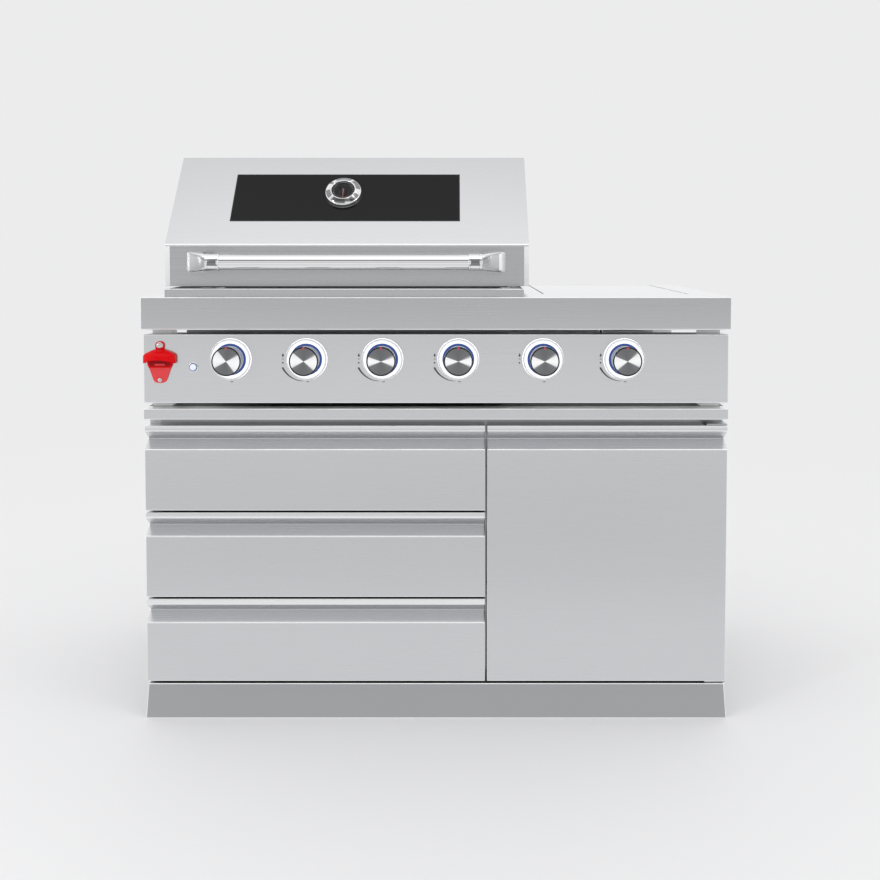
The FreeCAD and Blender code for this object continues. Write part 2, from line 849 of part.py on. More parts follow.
def make_drawers():
    """Three drawers, each a folded front and an open box with its runner bars."""
    channels = []
    for index, (top, bottom) in enumerate(drawer_levels(), start=1):
        name = f"drawer_{index}"
        keep(name + "_front", front_pan(name + "_front", (drawer_left, drawer_right), top, bottom))

        box_x = (box_left, box_right)
        box_y = (fronts_back, f"{fronts_back} + box_depth")
        box_z = (f"{bottom} + box_lift", f"{bottom} + box_lift + box_height")
        tub = box(name + "_tub", box_x, box_y, box_z)
        inside = box(
            name + "_inside",
            inset(box_x, "sheet"),
            inset(box_y, "sheet"),
            (f"{box_z[0]} + sheet", f"{box_z[1]} + sheet"),
        )
        middle = f"({box_z[0]} + box_height / 2)"
        bar_y = (f"{carcass_face} + sheet", box_y[1])
        bars = [
            box(
                name + "_left_bar",
                (f"{box_left} - runner_space + stout_sheet + slack", box_left),
                bar_y,
                about(middle, "bar_tall / 2"),
            ),
            box(
                name + "_right_bar",
                (box_right, f"{box_right} + runner_space - stout_sheet - slack"),
                bar_y,
                about(middle, "bar_tall / 2"),
            ),
        ]
        keep(name + "_box", group(name + "_body", [cut(name + "_open", tub, [inside]), *bars]))

        groove_z = about(middle, "(bar_tall / 2 + slack)")
        channel_y = (f"{carcass_face} + sheet", f"{carcass_face} + sheet + drawer_travel + runner_overlap")
        left_lips = (left_wall, f"{box_left} - slack")
        left_groove = (f"{left_wall} + stout_sheet", box_left)
        right_lips = (f"{box_right} + slack", divider_left)
        right_groove = (box_right, f"{divider_left} - stout_sheet")
        for side, lips, groove in (("left", left_lips, left_groove), ("right", right_lips, right_groove)):
            rail = box(f"{name}_{side}_rail", lips, channel_y, about(middle, "runner_height / 2"))
            slot = box(f"{name}_{side}_groove", groove, (carcass_face, f"{channel_y[1]} + sheet"), groove_z)
            channels.append(cut(f"{name}_{side}_channel", rail, [slot]))
    keep("cabinet_runners", group("channels", channels))


def make_door():
    """Door on the right with its pivot bosses, the pivot plates and a catch."""
    shell = front_pan("door_shell", (door_left, door_right), fronts_top, fronts_bottom)
    at = (door_pivot_x, door_pivot_y)
    lower_z = (fronts_bottom, f"{fronts_bottom} + pivot_boss_length")
    upper_z = (f"{fronts_top} - pivot_boss_length", fronts_top)
    bosses = [
        rod("lower_boss", "z", "pivot_boss_radius", at, lower_z),
        rod("upper_boss", "z", "pivot_boss_radius", at, upper_z),
    ]
    bores = [
        rod(
            f"{name}_bore",
            "z",
            "pivot_radius + running",
            at,
            span,
        )
        for name, span in (
            ("lower", (f"{fronts_bottom} - sheet", f"{fronts_bottom} + pivot_boss_length + sheet")),
            ("upper", (f"{fronts_top} - pivot_boss_length - sheet", f"{fronts_top} + sheet")),
        )
    ]
    keep("door", cut("door_leaf", fuse("door_body", [shell, *bosses]), bores))

    plate_x = (f"{door_right} - pivot_plate_width", door_right)
    plate_y = (f"{door_pivot_y} - pivot_boss_radius", carcass_face)
    brackets = []
    for name, plate_z, pin_z, tab_z in (
        (
            "lower",
            (f"{fronts_bottom} - slack - pivot_plate", f"{fronts_bottom} - slack"),
            (f"{fronts_bottom} - slack", f"{fronts_bottom} + pivot_boss_length"),
            (f"{fronts_bottom} - slack - pivot_plate", f"{fronts_bottom} + pivot_tab"),
        ),
        (
            "upper",
            (f"{fronts_top} + slack", f"{fronts_top} + slack + pivot_plate"),
            (f"{fronts_top} - pivot_boss_length", f"{fronts_top} + slack"),
            (f"{fronts_top} - pivot_tab", f"{fronts_top} + slack + pivot_plate"),
        ),
    ):
        plate = box(name + "_pivot_plate", plate_x, plate_y, plate_z)
        tab = box(
            name + "_pivot_tab",
            plate_x,
            (f"{carcass_face} - sheet", carcass_face),
            tab_z,
        )
        pin = rod(name + "_pivot_pin", "z", "pivot_radius", at, pin_z)
        brackets.append(fuse(name + "_pivot", [plate, tab, pin]))
    keep("door_pivots", group("pivots", brackets))

    catch = box(
        "catch_block",
        (divider_right, f"{divider_right} + catch_width"),
        (f"{carcass_face} - fronts_clear + slack", f"{carcass_face} + rail_depth"),
        (f"{fronts_top} - scoop_drop - catch_height", f"{fronts_top} - scoop_drop"),
    )
    keep("door_catch", catch)


def make_firebox():
    """Drop-in burner box: flange on the worktop, four walls, ledges and a hopper."""
    wall_x = (grill_left, grill_right)
    wall_y = (grill_front_wall, grill_back_wall)
    inner_x = inset(wall_x, "stout_sheet")
    inner_y = inset(wall_y, "stout_sheet")
    flange_top = "(worktop_height + stout_sheet)"
    outer = box("firebox_outer", wall_x, wall_y, (firebox_bottom, flange_top))
    flange = box(
        "firebox_flange",
        (f"{grill_left} - grill_flange", f"{grill_right} + grill_flange"),
        (f"{grill_front_wall} - grill_flange", f"{grill_back_wall} + grill_flange"),
        ("worktop_height", flange_top),
    )
    inside_z = (f"{firebox_bottom} - stout_sheet", f"{flange_top} + stout_sheet")
    inside = box("firebox_inside", inner_x, inner_y, inside_z)
    shell = cut("firebox_walls", fuse("firebox_blank", [outer, flange]), [inside])
    ledges = []
    for level, drop in (("grate", "grate_drop"), ("tamer", "tamer_drop")):
        ledge_z = (f"worktop_height - {drop} - stout_sheet", f"worktop_height - {drop}")
        front_y = (inner_y[0], f"{inner_y[0]} + ledge_width")
        back_y = (f"{inner_y[1]} - ledge_width", inner_y[1])
        ledges.append(box(level + "_front_ledge", inner_x, front_y, ledge_z))
        ledges.append(box(level + "_back_ledge", inner_x, back_y, ledge_z))

    def hopper(name, wall, top, bottom):
        middle_y = f"(({grill_front_wall} + {grill_back_wall}) / 2)"
        piece = doc.addObject("Part::Wedge", name)
        piece.Placement = FreeCAD.Placement(
            FreeCAD.Vector(), FreeCAD.Rotation(FreeCAD.Vector(1, 0, 0), 90)
        )
        drive(piece, "X2min", f"{grill_left} + {wall}")
        drive(piece, "X2max", f"{grill_right} - {wall}")
        drive(piece, "Xmin", f"grill_offset - drain_width / 2 + {wall}")
        drive(piece, "Xmax", f"grill_offset + drain_width / 2 - {wall}")
        drive(piece, "Ymin", bottom)
        drive(piece, "Ymax", top)
        drive(piece, "Z2min", f"-({grill_back_wall} - {wall})")
        drive(piece, "Z2max", f"-({grill_front_wall} + {wall})")
        drive(piece, "Zmin", f"-({middle_y} + drain_depth / 2 - {wall})")
        drive(piece, "Zmax", f"-({middle_y} - drain_depth / 2 + {wall})")
        return piece

    funnel = cut(
        "hopper_walls",
        hopper("hopper_outer", "0", firebox_bottom, hopper_bottom),
        [hopper("hopper_inner", "stout_sheet", firebox_bottom, hopper_bottom)],
    )
    body = fuse("firebox_body", [shell, funnel, *ledges])
    ports = [
        rod(
            f"burner_port_{index}",
            "y",
            "burner_radius",
            (place, knob_level),
            (f"{grill_front_wall} - stout_sheet", f"{grill_front_wall} + 2 * stout_sheet"),
        )
        for index, place in enumerate(knob_places[:main_burner_count], start=1)
    ]
    keep("firebox", cut("firebox_shell", body, [*ports, riser_hole("firebox_riser")]))


def make_burners():
    """Four tube burners, the flame tamers over them and the cooking grates."""
    burners = []
    tamers = []
    burner_y = (f"{grill_front_wall} - ledge_width", f"{grill_back_wall} - stout_sheet")
    for index, place in enumerate(knob_places[:main_burner_count], start=1):
        at = (place, knob_level)
        tube = rod(f"burner_tube_{index}", "y", "burner_radius", at, burner_y)
        core = rod(
            f"burner_core_{index}",
            "y",
            "burner_radius - burner_wall",
            at,
            (f"{burner_y[0]} - sheet", f"{burner_y[1]} - burner_wall"),
        )
        burners.append(cut(f"burner_{index}", tube, [core]))
        foot = "(worktop_height - tamer_drop)"
        ridge = prism(
            f"tamer_roof_{index}",
            "XZ",
            [
                (f"{place} - tamer_width / 2", foot),
                (place, f"{foot} + tamer_height"),
                (f"{place} + tamer_width / 2", foot),
                (f"{place} + tamer_width / 2 - 3 * stout_sheet", foot),
                (place, f"{foot} + tamer_height - 2 * stout_sheet"),
                (f"{place} - tamer_width / 2 + 3 * stout_sheet", foot),
            ],
            inset((grill_front_wall, grill_back_wall), "(stout_sheet + slack)"),
        )
        tamers.append(ridge)
    keep("main_burners", group("burners", burners))
    keep("flame_tamers", group("tamers", tamers))

    grates = []
    grate_count = 3
    rods_each = 11
    rest = "(worktop_height - grate_drop)"
    grate_y = inset((grill_front_wall, grill_back_wall), "(stout_sheet + slack)")
    width = f"((grill_width - 2 * stout_sheet - {grate_count + 1} * grate_gap) / {grate_count})"
    for index in range(grate_count):
        start = f"({grill_left} + stout_sheet + grate_gap + {index} * ({width} + grate_gap))"
        parts = []
        for step in range(rods_each):
            place = f"({start} + grate_rod + ({width} - 2 * grate_rod) * {step} / {rods_each - 1})"
            at = (place, f"{rest} + grate_rod")
            parts.append(rod(f"grate_{index}_rod_{step}", "y", "grate_rod", at, grate_y))
        for end, y_span in (
            ("front", (grate_y[0], f"{grate_y[0]} + 2 * grate_rod")),
            ("middle", about(f"(({grill_front_wall} + {grill_back_wall}) / 2)", "grate_rod")),
            ("back", (f"{grate_y[1]} - 2 * grate_rod", grate_y[1])),
        ):
            bar_x = (start, f"{start} + {width}")
            parts.append(box(f"grate_{index}_{end}", bar_x, y_span, (rest, f"{rest} + 1.5 * grate_rod")))
        grates.append(fuse(f"grate_{index}", parts))
    keep("cooking_grates", group("grates", grates))


def make_grill_frame():
    """Raised trim frame round the grill with two ears for the hood's pivot pins."""
    frame_x = about("grill_offset", "frame_width / 2")
    frame_y = (frame_front_wall, frame_back_wall)
    opening_x = (f"{grill_left} + stout_sheet", f"{grill_right} - stout_sheet")
    opening_y = (f"{grill_front_wall} + stout_sheet", f"{grill_back_wall} - stout_sheet")
    block = box("frame_outer", frame_x, frame_y, ("worktop_height", frame_top))
    opening = box("frame_opening", opening_x, opening_y, ("worktop_height - sheet", f"{frame_top} + sheet"))
    hollow = box(
        "frame_hollow",
        inset(frame_x, "stout_sheet"),
        inset(frame_y, "stout_sheet"),
        ("worktop_height - sheet", f"{frame_top} - stout_sheet"),
    )
    curb_outer = box(
        "curb_outer",
        (grill_left, grill_right),
        (grill_front_wall, grill_back_wall),
        ("worktop_height + stout_sheet", frame_top),
    )
    curb_inner = box("curb_inner", opening_x, opening_y, ("worktop_height", f"{frame_top} + sheet"))
    ring = cut("frame_ring", block, [opening, hollow])
    curb = cut("frame_curb", curb_outer, [curb_inner])
    ear_spans = (
        ("left", (frame_x[0], f"{frame_x[0]} + ear_thickness")),
        ("right", (f"{frame_x[1]} - ear_thickness", frame_x[1])),
    )
    ears = []
    for side, x_span in ear_spans:
        plate = box(
            side + "_ear_plate",
            x_span,
            about(hood_pivot_y, "ear_width / 2"),
            (f"{frame_top} - stout_sheet", hood_pivot_z),
        )
        round_top = rod(side + "_ear_round", "x", "ear_width / 2", (hood_pivot_y, hood_pivot_z), x_span)
        ears += [plate, round_top]
    # The hood's back wall swings in under the ears, so they are narrower at the foot.
    reliefs = [
        box(
            side + "_ear_relief",
            x_span,
            (f"{hood_pivot_y} + ear_step", f"{hood_pivot_y} + ear_width / 2 + sheet"),
            (frame_top, f"{hood_pivot_z} - ear_shoulder"),
        )
        for side, x_span in ear_spans
    ]
    bores = [
        rod(
            side + "_ear_bore",
            "x",
            "hood_pin_radius + running",
            (hood_pivot_y, hood_pivot_z),
            (f"{place} - ear_thickness - sheet", f"{place} + ear_thickness + sheet"),
        )
        for side, place in (("left", frame_x[0]), ("right", frame_x[1]))
    ]
    body = fuse("frame_body", [ring, curb, *ears])
    keep("grill_frame", cut("frame", body, [*reliefs, *bores, riser_hole("frame_riser")]))


def make_rear_shroud():
    """Fixed wall behind the grates with the infrared rear burner and the warming rack."""
    wall_x = inset((grill_left, grill_right), "stout_sheet")
    shroud_back = f"({shroud_face} + stout_sheet)"
    wall = box("shroud_wall", wall_x, (shroud_face, shroud_back), (frame_top, f"{frame_top} + shroud_height"))
    shelf = box(
        "shroud_foot",
        wall_x,
        (shroud_face, f"{grill_back_wall} + grill_flange"),
        (frame_top, f"{frame_top} + stout_sheet"),
    )
    window = box(
        "shroud_window",
        about("grill_offset", "(rear_burner_width / 2 - ledge_width)"),
        (f"{shroud_face} - sheet", f"{shroud_back} + sheet"),
        (f"{frame_top} + 2 * ledge_width", f"{frame_top} + rear_burner_height"),
    )
    rack_rest = f"{frame_top} + shroud_height - rack_drop"
    hooks = [
        box(
            side + "_rack_hook",
            about(place, "ledge_width"),
            (f"{shroud_face} - ledge_width", shroud_face),
            (f"{rack_rest} - 2 * stout_sheet", rack_rest),
        )
        for side, place in zip(("left", "right"), inset(wall_x, "drain_depth"))
    ]
    body = fuse("shroud_body", [wall, shelf, *hooks])
    keep("rear_shroud", cut("shroud", body, [window, riser_hole("shroud_riser")]))

    burner_x = about("grill_offset", "rear_burner_width / 2")
    burner_z = (f"{frame_top} + ledge_width", f"{frame_top} + rear_burner_height + ledge_width")
    shell = box("rear_burner_outer", burner_x, (shroud_back, f"{shroud_back} + rear_burner_depth"), burner_z)
    core = box(
        "rear_burner_core",
        inset(burner_x, "stout_sheet"),
        (f"{shroud_back} - sheet", f"{shroud_back} + rear_burner_depth / 2"),
        inset(burner_z, "stout_sheet"),
    )
    keep("rear_burner", cut("infrared_burner", shell, [core]))

    rack_z = f"{frame_top} + shroud_height - rack_drop + rack_rod"
    rack_x = inset(wall_x, "ledge_width")
    rack_y = (f"{shroud_face} - rack_depth", f"{shroud_face} - rack_rod")
    bars = []
    bar_count = 7
    for step in range(bar_count):
        place = f"{rack_y[0]} + rack_rod + (rack_depth - 4 * rack_rod) * {step} / {bar_count - 1}"
        bars.append(rod(f"rack_bar_{step}", "x", "rack_rod", (place, rack_z), rack_x))
    cross_places = [f"{rack_x[0]} + rack_rod", "grill_offset", f"{rack_x[1]} - rack_rod"]
    for side, place in enumerate(cross_places):
        bars.append(rod(f"rack_cross_{side}", "y", "rack_rod", (place, rack_z), rack_y))
    keep("warming_rack", fuse("rack", bars))


def hood_profile():
    """Side view of the hood's sheet from the lower front edge to the lower back edge."""
    return [
        (hood_face, hood_bottom),
        (hood_face, slope_foot),
        (hood_crest, hood_top),
        (hood_top_back, hood_top),
        (hood_back, f"{hood_top} - hood_back_drop"),
        (hood_back, hood_pivot_z),
    ]


def slope_point(along, out):
    """A point on the hood's sloped face: distance up the slope and out from it."""
    across = f"{hood_face} + (({along}) * hood_run - ({out}) * hood_rise) / {slope_length}"
    up = f"{slope_foot} + (({along}) * hood_rise + ({out}) * hood_run) / {slope_length}"
    return across, up


def slope_block(name, span, along, out):
    """A block that lies in the hood's sloped face."""
    corners = [
        slope_point(along[0], out[0]),
        slope_point(along[1], out[0]),
        slope_point(along[1], out[1]),
        slope_point(along[0], out[1]),
    ]
    return prism(name, "YZ", corners, span)


def make_hood():
    """Hood sheet, its two side panels, the window with its frame, and the pivot pins."""
    span = (hood_left, hood_right)
    sheet_wrap = folded("hood_wrap", hood_profile(), "hood_sheet", span)
    side_spans = {
        "left": (hood_left, f"{hood_left} + hood_side"),
        "right": (f"{hood_right} - hood_side", hood_right),
    }
    notches = [
        box(
            side + "_notch",
            x_span,
            (f"{hood_face} - sheet", f"{hood_face} + hood_sheet"),
            (f"{hood_bottom} - sheet", f"{slope_foot} - 2 * hood_sheet"),
        )
        for side, x_span in side_spans.items()
    ]
    glass_x = about("(grill_offset + window_offset)", "window_width / 2")
    glass_along = about("window_middle", "window_height / 2")
    glass_hole = slope_block("glass_hole", glass_x, glass_along, ("-2 * hood_sheet", "hood_sheet"))
    shell = keep("hood_shell", cut("hood_sheet_body", sheet_wrap, [*notches, glass_hole]))

    outline = hood_profile()
    corner = (f"{hood_pivot_y} - ledge_width", hood_bottom)
    side_points = outline + [corner]
    sides = []
    pins = []
    for side, x_span in side_spans.items():
        blank = prism(side + "_cheek", "YZ", side_points, x_span)
        inner = {
            "left": (f"{hood_left} + hood_side_sheet", f"{hood_left} + hood_side + sheet"),
            "right": (f"{hood_right} - hood_side - sheet", f"{hood_right} - hood_side_sheet"),
        }[side]
        wall = "(hood_sheet + hood_side_sheet)"
        hollow_points = [
            (f"{hood_face} + {wall}", f"{hood_bottom} + {wall}"),
            (f"{hood_face} + {wall}", f"{slope_foot} - {wall}"),
            (f"{hood_crest} + {wall}", f"{hood_top} - 2 * {wall}"),
            (f"{hood_top_back} - {wall}", f"{hood_top} - 2 * {wall}"),
            (f"{hood_back} - 2 * {wall}", f"{hood_top} - hood_back_drop - {wall}"),
            (f"{hood_back} - 2 * {wall}", f"{hood_pivot_z} + {wall}"),
            (f"{corner[0]} - {wall}", f"{hood_bottom} + {wall}"),
        ]
        hollow = prism(side + "_cheek_hollow", "YZ", hollow_points, inner)
        at = (hood_pivot_y, hood_pivot_z)
        pan = cut(side + "_cheek_pan", blank, [shell, hollow])
        boss = rod(side + "_pin_boss", "x", "hood_pin_head", at, x_span)
        bore_x = (f"{x_span[0]} - sheet", f"{x_span[1]} + sheet")
        bore = rod(side + "_pin_bore", "x", "hood_pin_radius", at, bore_x)
        sides.append(cut(side + "_hood_side", fuse(side + "_cheek_body", [pan, boss]), [bore]))
        frame_edge = "(frame_width / 2 - ear_thickness - hood_sheet)"
        if side == "left":
            shank = (f"{hood_left} - hood_side_sheet", f"grill_offset - {frame_edge}")
            head = (f"{hood_left} - 2 * hood_side_sheet", hood_left)
        else:
            shank = (f"grill_offset + {frame_edge}", f"{hood_right} + hood_side_sheet")
            head = (hood_right, f"{hood_right} + 2 * hood_side_sheet")
        bolt = rod(side + "_pin_shank", "x", "hood_pin_radius", at, shank)
        cap = rod(side + "_pin_cap", "x", "hood_pin_head", at, head)
        pins.append(fuse(side + "_hood_pin", [bolt, cap]))
    keep("hood_side_panels", group("cheeks", sides))
    keep("hood_pivot_pins", group("pins", pins))

    behind = "(-glass_thickness - hood_sheet)"
    glass = slope_block("glass", glass_x, glass_along, ("-glass_thickness", "0"))
    hole = [
        ("0", "-glass_thickness"),
        ("probe_radius", "-glass_thickness"),
        ("probe_radius", "2 * glass_thickness"),
        ("0", "2 * glass_thickness"),
    ]
    probe_hole = on_dial(turned("probe_hole", hole, ("0", "0", "0")))
    keep("hood_window", cut("window", glass, [probe_hole]))
    border_x = about("(grill_offset + window_offset)", "(window_width / 2 + window_border)")
    border_along = about("window_middle", "(window_height / 2 + window_border)")
    border = slope_block("window_border_blank", border_x, border_along, (behind, "-hood_sheet"))
    seat = slope_block("window_seat", glass_x, glass_along, ("-glass_thickness", "0"))
    light_x = about("(grill_offset + window_offset)", "(window_width / 2 - ledge_width)")
    light_along = about("window_middle", "(window_height / 2 - ledge_width)")
    light = slope_block("window_light", light_x, light_along, (f"{behind} - sheet", "0"))
    keep("window_frame", cut("window_border_ring", border, [seat, light]))


def on_dial(body):
    """Turn a body onto the thermometer's axis; its -Y side then stands out of the glass."""
    across, up = slope_point("dial_middle", "0")
    body.Placement = FreeCAD.Placement(
        FreeCAD.Vector(), FreeCAD.Rotation(FreeCAD.Vector(-1, 0, 0), 30)
    )
    drive(body, "Placement.Rotation.Angle", "90 deg - atan(hood_rise / hood_run)")
    for letter, text in zip("xyz", ("(grill_offset + dial_offset)", across, up)):
        drive(body, "Placement.Base." + letter, text)
    return body


def make_thermometer():
    """Thermometer in the window: bezel with its probe, glass lens and needle."""
    centre = ("0", "0", "0")
    bore = "needle_pin + running"
    seat = "needle_seat - dial_floor"
    case = [
        (bore, "-dial_floor"),
        ("dial_face_radius", "-dial_floor"),
        ("dial_face_radius", "-dial_depth"),
        ("dial_face_radius + dial_lip", "-dial_depth"),
        ("dial_radius", "-dial_rim"),
        ("dial_radius", "0"),
        ("probe_radius", "0"),
        ("probe_radius", "probe_length"),
        ("0", "probe_length"),
        ("0", seat),
        (bore, seat),
    ]
    keep("thermometer_case", on_dial(turned("case", case, centre)))
    lens_face = "lens_inset - dial_depth"
    lens = [
        ("0", lens_face),
        ("0", f"{lens_face} + lens_thickness"),
        ("dial_face_radius", f"{lens_face} + lens_thickness"),
        ("dial_face_radius", lens_face),
    ]
    keep("thermometer_lens", on_dial(turned("lens", lens, centre)))
    pointer_y = ("-dial_floor - slack - needle_thickness", "-dial_floor - slack")
    outline = [
        ("-needle_pin", "needle_tail"),
        ("needle_pin", "needle_tail"),
        ("needle_pin / 4", "-needle_length"),
        ("-needle_pin / 4", "-needle_length"),
    ]
    pointer = on_dial(prism("pointer", "XZ", outline, pointer_y))
    pin = [
        ("0", pointer_y[0]),
        ("needle_pin", pointer_y[0]),
        ("needle_pin", f"{seat} - slack"),
        ("0", f"{seat} - slack"),
    ]
    keep("thermometer_needle", fuse("needle", [pointer, on_dial(turned("pointer_pin", pin, centre))]))


def make_handle():
    """Hood handle: a chromed tube between two flared castings."""
    handle_y = f"({hood_face} - handle_stand)"
    handle_z = f"({hood_bottom} + handle_height)"
    at = (handle_y, handle_z)
    bar_end = "(handle_length / 2 + bar_grip)"
    span = about("grill_offset", bar_end)
    tube = rod("bar_tube", "x", "handle_radius", at, span)
    core_x = (f"{span[0]} - sheet", f"{span[1]} + sheet")
    core = rod("bar_core", "x", "handle_radius - bar_wall", at, core_x)
    keep("handle_bar", cut("bar", tube, [core]))

    socket_radius = "(handle_radius + socket_wall)"
    neck = "(handle_length / 2 + socket_length)"
    joint = f"({neck} - socket_wall)"
    tip = f"({neck} + foot_spread)"

    def bracket(side, sign):
        def out(distance):
            return f"grill_offset + {sign} * {distance}"

        def reach(first, last):
            return (out(first), out(last)) if sign > 0 else (out(last), out(first))

        socket = rod(side + "_socket", "x", socket_radius, at, reach("(handle_length / 2)", neck))
        plan = [
            (out(joint), f"{handle_y} - {socket_radius}"),
            (out(f"({tip} - foot_width)"), f"{handle_y} - handle_radius"),
            (out(f"({tip} - foot_edge)"), f"{handle_y} + {socket_radius} / 2"),
            (out(tip), f"{hood_face} - foot_edge"),
            (out(tip), hood_face),
            (out(f"({tip} - foot_width)"), hood_face),
            (out(joint), f"{handle_y} + {socket_radius}"),
        ]
        outline = [
            (out(joint), f"{handle_z} - {socket_radius}"),
            (out(tip), f"{handle_z} - foot_height / 2"),
            (out(tip), f"{handle_z} + foot_height / 2"),
            (out(joint), f"{handle_z} + {socket_radius}"),
        ]
        foot = doc.addObject("Part::Common", side + "_foot")
        foot.Base = prism(side + "_foot_plan", "XY", plan, about(handle_z, "foot_height"))
        foot.Tool = prism(side + "_foot_front", "XZ", outline, (f"{handle_y} - foot_height", hood_face))
        bore = rod(side + "_socket_bore", "x", "handle_radius", at, reach("(handle_length / 2)", bar_end))
        return cut(side + "_bracket", fuse(side + "_casting", [socket, foot]), [bore])

    keep("handle_brackets", group("brackets", [bracket("left", -1), bracket("right", 1)]))


def make_knobs():
    """Six control knobs with their stems, bezels and light rings."""
    profile = [
        ("0", "-knob_reach"),
        ("knob_radius - knob_edge", "-knob_reach"),
        ("knob_radius", "-knob_reach + knob_edge"),
        ("knob_radius", "knob_cap - knob_reach"),
        ("knob_waist", "knob_taper - knob_reach"),
        ("knob_waist", "-knob_clear"),
        ("stem_radius", "-knob_clear"),
        ("stem_radius", "stem_length"),
        ("0", "stem_length"),
    ]
    bezel_profile = [
        ("bezel_inner_radius", "0"),
        ("bezel_radius", "0"),
        ("bezel_radius", "-bezel_depth + knob_edge"),
        ("bezel_radius - knob_edge", "-bezel_depth"),
        ("bezel_inner_radius", "-bezel_depth"),
    ]
    ring_profile = [
        ("knob_radius + slack", "0"),
        ("bezel_inner_radius", "0"),
        ("bezel_inner_radius", "-light_ring_depth"),
        ("knob_radius + slack", "-light_ring_depth"),
    ]
    bezels = []
    rings = []
    for index, place in enumerate(knob_places, start=1):
        seat = (place, panel_face, knob_level)
        keep(f"knob_{index}", turned(f"knob_{index}_body", profile, seat))
        bezels.append(turned(f"bezel_{index}", bezel_profile, seat))
        rings.append(turned(f"light_ring_{index}", ring_profile, seat))
    keep("knob_bezels", group("bezels", bezels))
    keep("knob_light_rings", group("light_rings", rings))


def make_gas_train():
    """Gas pipe with its inlet, six valves behind the panel and the two long feeds."""
    pipe_at = (pipe_y, pipe_level)
    pipe_x = ("button_place + button_rim + pipe_clearance", f"{knob_places[-1]} + pipe_end")
    pipe = rod("gas_pipe", "x", "pipe_radius", pipe_at, pipe_x)
    inlet_x = (pipe_x[1], f"{pipe_x[1]} + inlet_length")
    inlet = rod("gas_inlet", "x", "inlet_radius", pipe_at, inlet_x)
    bore_x = (f"{inlet_x[0]} + stout_sheet", f"{inlet_x[1]} + sheet")
    bore = rod("gas_inlet_bore", "x", "inlet_bore", pipe_at, bore_x)
    keep("gas_manifold", cut("manifold", fuse("manifold_blank", [pipe, inlet]), [bore]))

    valves = []
    body_y = (f"{panel_back} + valve_neck", valve_back)
    for index, place in enumerate(knob_places, start=1):
        at = (place, knob_level)
        block = box(
            f"valve_block_{index}",
            about(place, "valve_width / 2"),
            body_y,
            (pipe_level, f"{pipe_level} + valve_height"),
        )
        neck = rod(f"valve_neck_{index}", "y", "valve_neck_radius", at, (panel_back, body_y[0]))
        parts = [block, neck]
        if index <= main_burner_count:
            jet_y = (valve_back, f"{grill_front_wall} - ledge_width / 2")
            parts.append(rod(f"valve_jet_{index}", "y", "feed_radius", at, jet_y))
        stem_bore = rod(
            f"valve_bore_{index}",
            "y",
            "stem_radius + running",
            at,
            (panel_face, f"{panel_face} + stem_length + slack"),
        )
        saddle = rod(f"valve_saddle_{index}", "x", "pipe_radius", pipe_at, about(place, "valve_width"))
        valves.append(cut(f"valve_{index}", fuse(f"valve_blank_{index}", parts), [stem_bore, saddle]))
    keep("gas_valves", group("valves", valves))

    def feed(name, axis, at, span):
        return rod(name, axis, "feed_radius", at, span)

    rear_y = (valve_back, f"{riser_y} + feed_radius")
    rear_z = (f"{knob_level} - feed_radius", f"{frame_top} + ledge_width")
    side_y = (valve_back, f"{side_burner_y} + feed_radius")
    side_z = (f"{knob_level} - feed_radius", pan_bottom)
    rear_parts = [
        feed("rear_feed_run", "y", ("rear_knob_place", knob_level), rear_y),
        feed("rear_feed_cross", "x", (riser_y, knob_level), (riser_x, "rear_knob_place")),
        feed("rear_feed_rise", "z", (riser_x, riser_y), rear_z),
    ]
    side_parts = [
        feed("side_feed_run", "y", ("side_place", knob_level), side_y),
        feed("side_feed_rise", "z", ("side_place", side_burner_y), side_z),
    ]
    keep("feed_pipes", group("feeds", [fuse("rear_feed", rear_parts), fuse("side_feed", side_parts)]))


def riser_hole(name):
    """The hole that the rear burner's feed pipe passes through."""
    span = (f"{worktop_under} - sheet", f"{frame_top} + 2 * stout_sheet")
    return rod(name, "z", "feed_radius + slack", (riser_x, riser_y), span)


def make_button():
    """Light switch: a sprung cap in a chromed cup through the panel."""
    seat = ("button_place", panel_face, f"{panel_bottom} + button_height")
    inside = "button_radius + running"
    cup = [
        (inside, "-button_rim_stand - button_lip"),
        ("button_rim", "-button_rim_stand"),
        ("button_rim", "0"),
        ("button_barrel", "0"),
        ("button_barrel", "button_depth + button_rim_stand"),
        ("0", "button_depth + button_rim_stand"),
        ("0", "button_depth"),
        (inside, "button_depth"),
    ]
    keep("button_bezel", turned("button_cup", cup, seat))
    cap = [
        ("0", "-button_stand"),
        ("button_radius - button_edge", "-button_stand"),
        ("button_radius", "-button_stand + button_edge"),
        ("button_radius", "button_depth - button_travel - button_spare"),
        ("0", "button_depth - button_travel - button_spare"),
    ]
    keep("light_button", turned("button_cap", cap, seat))


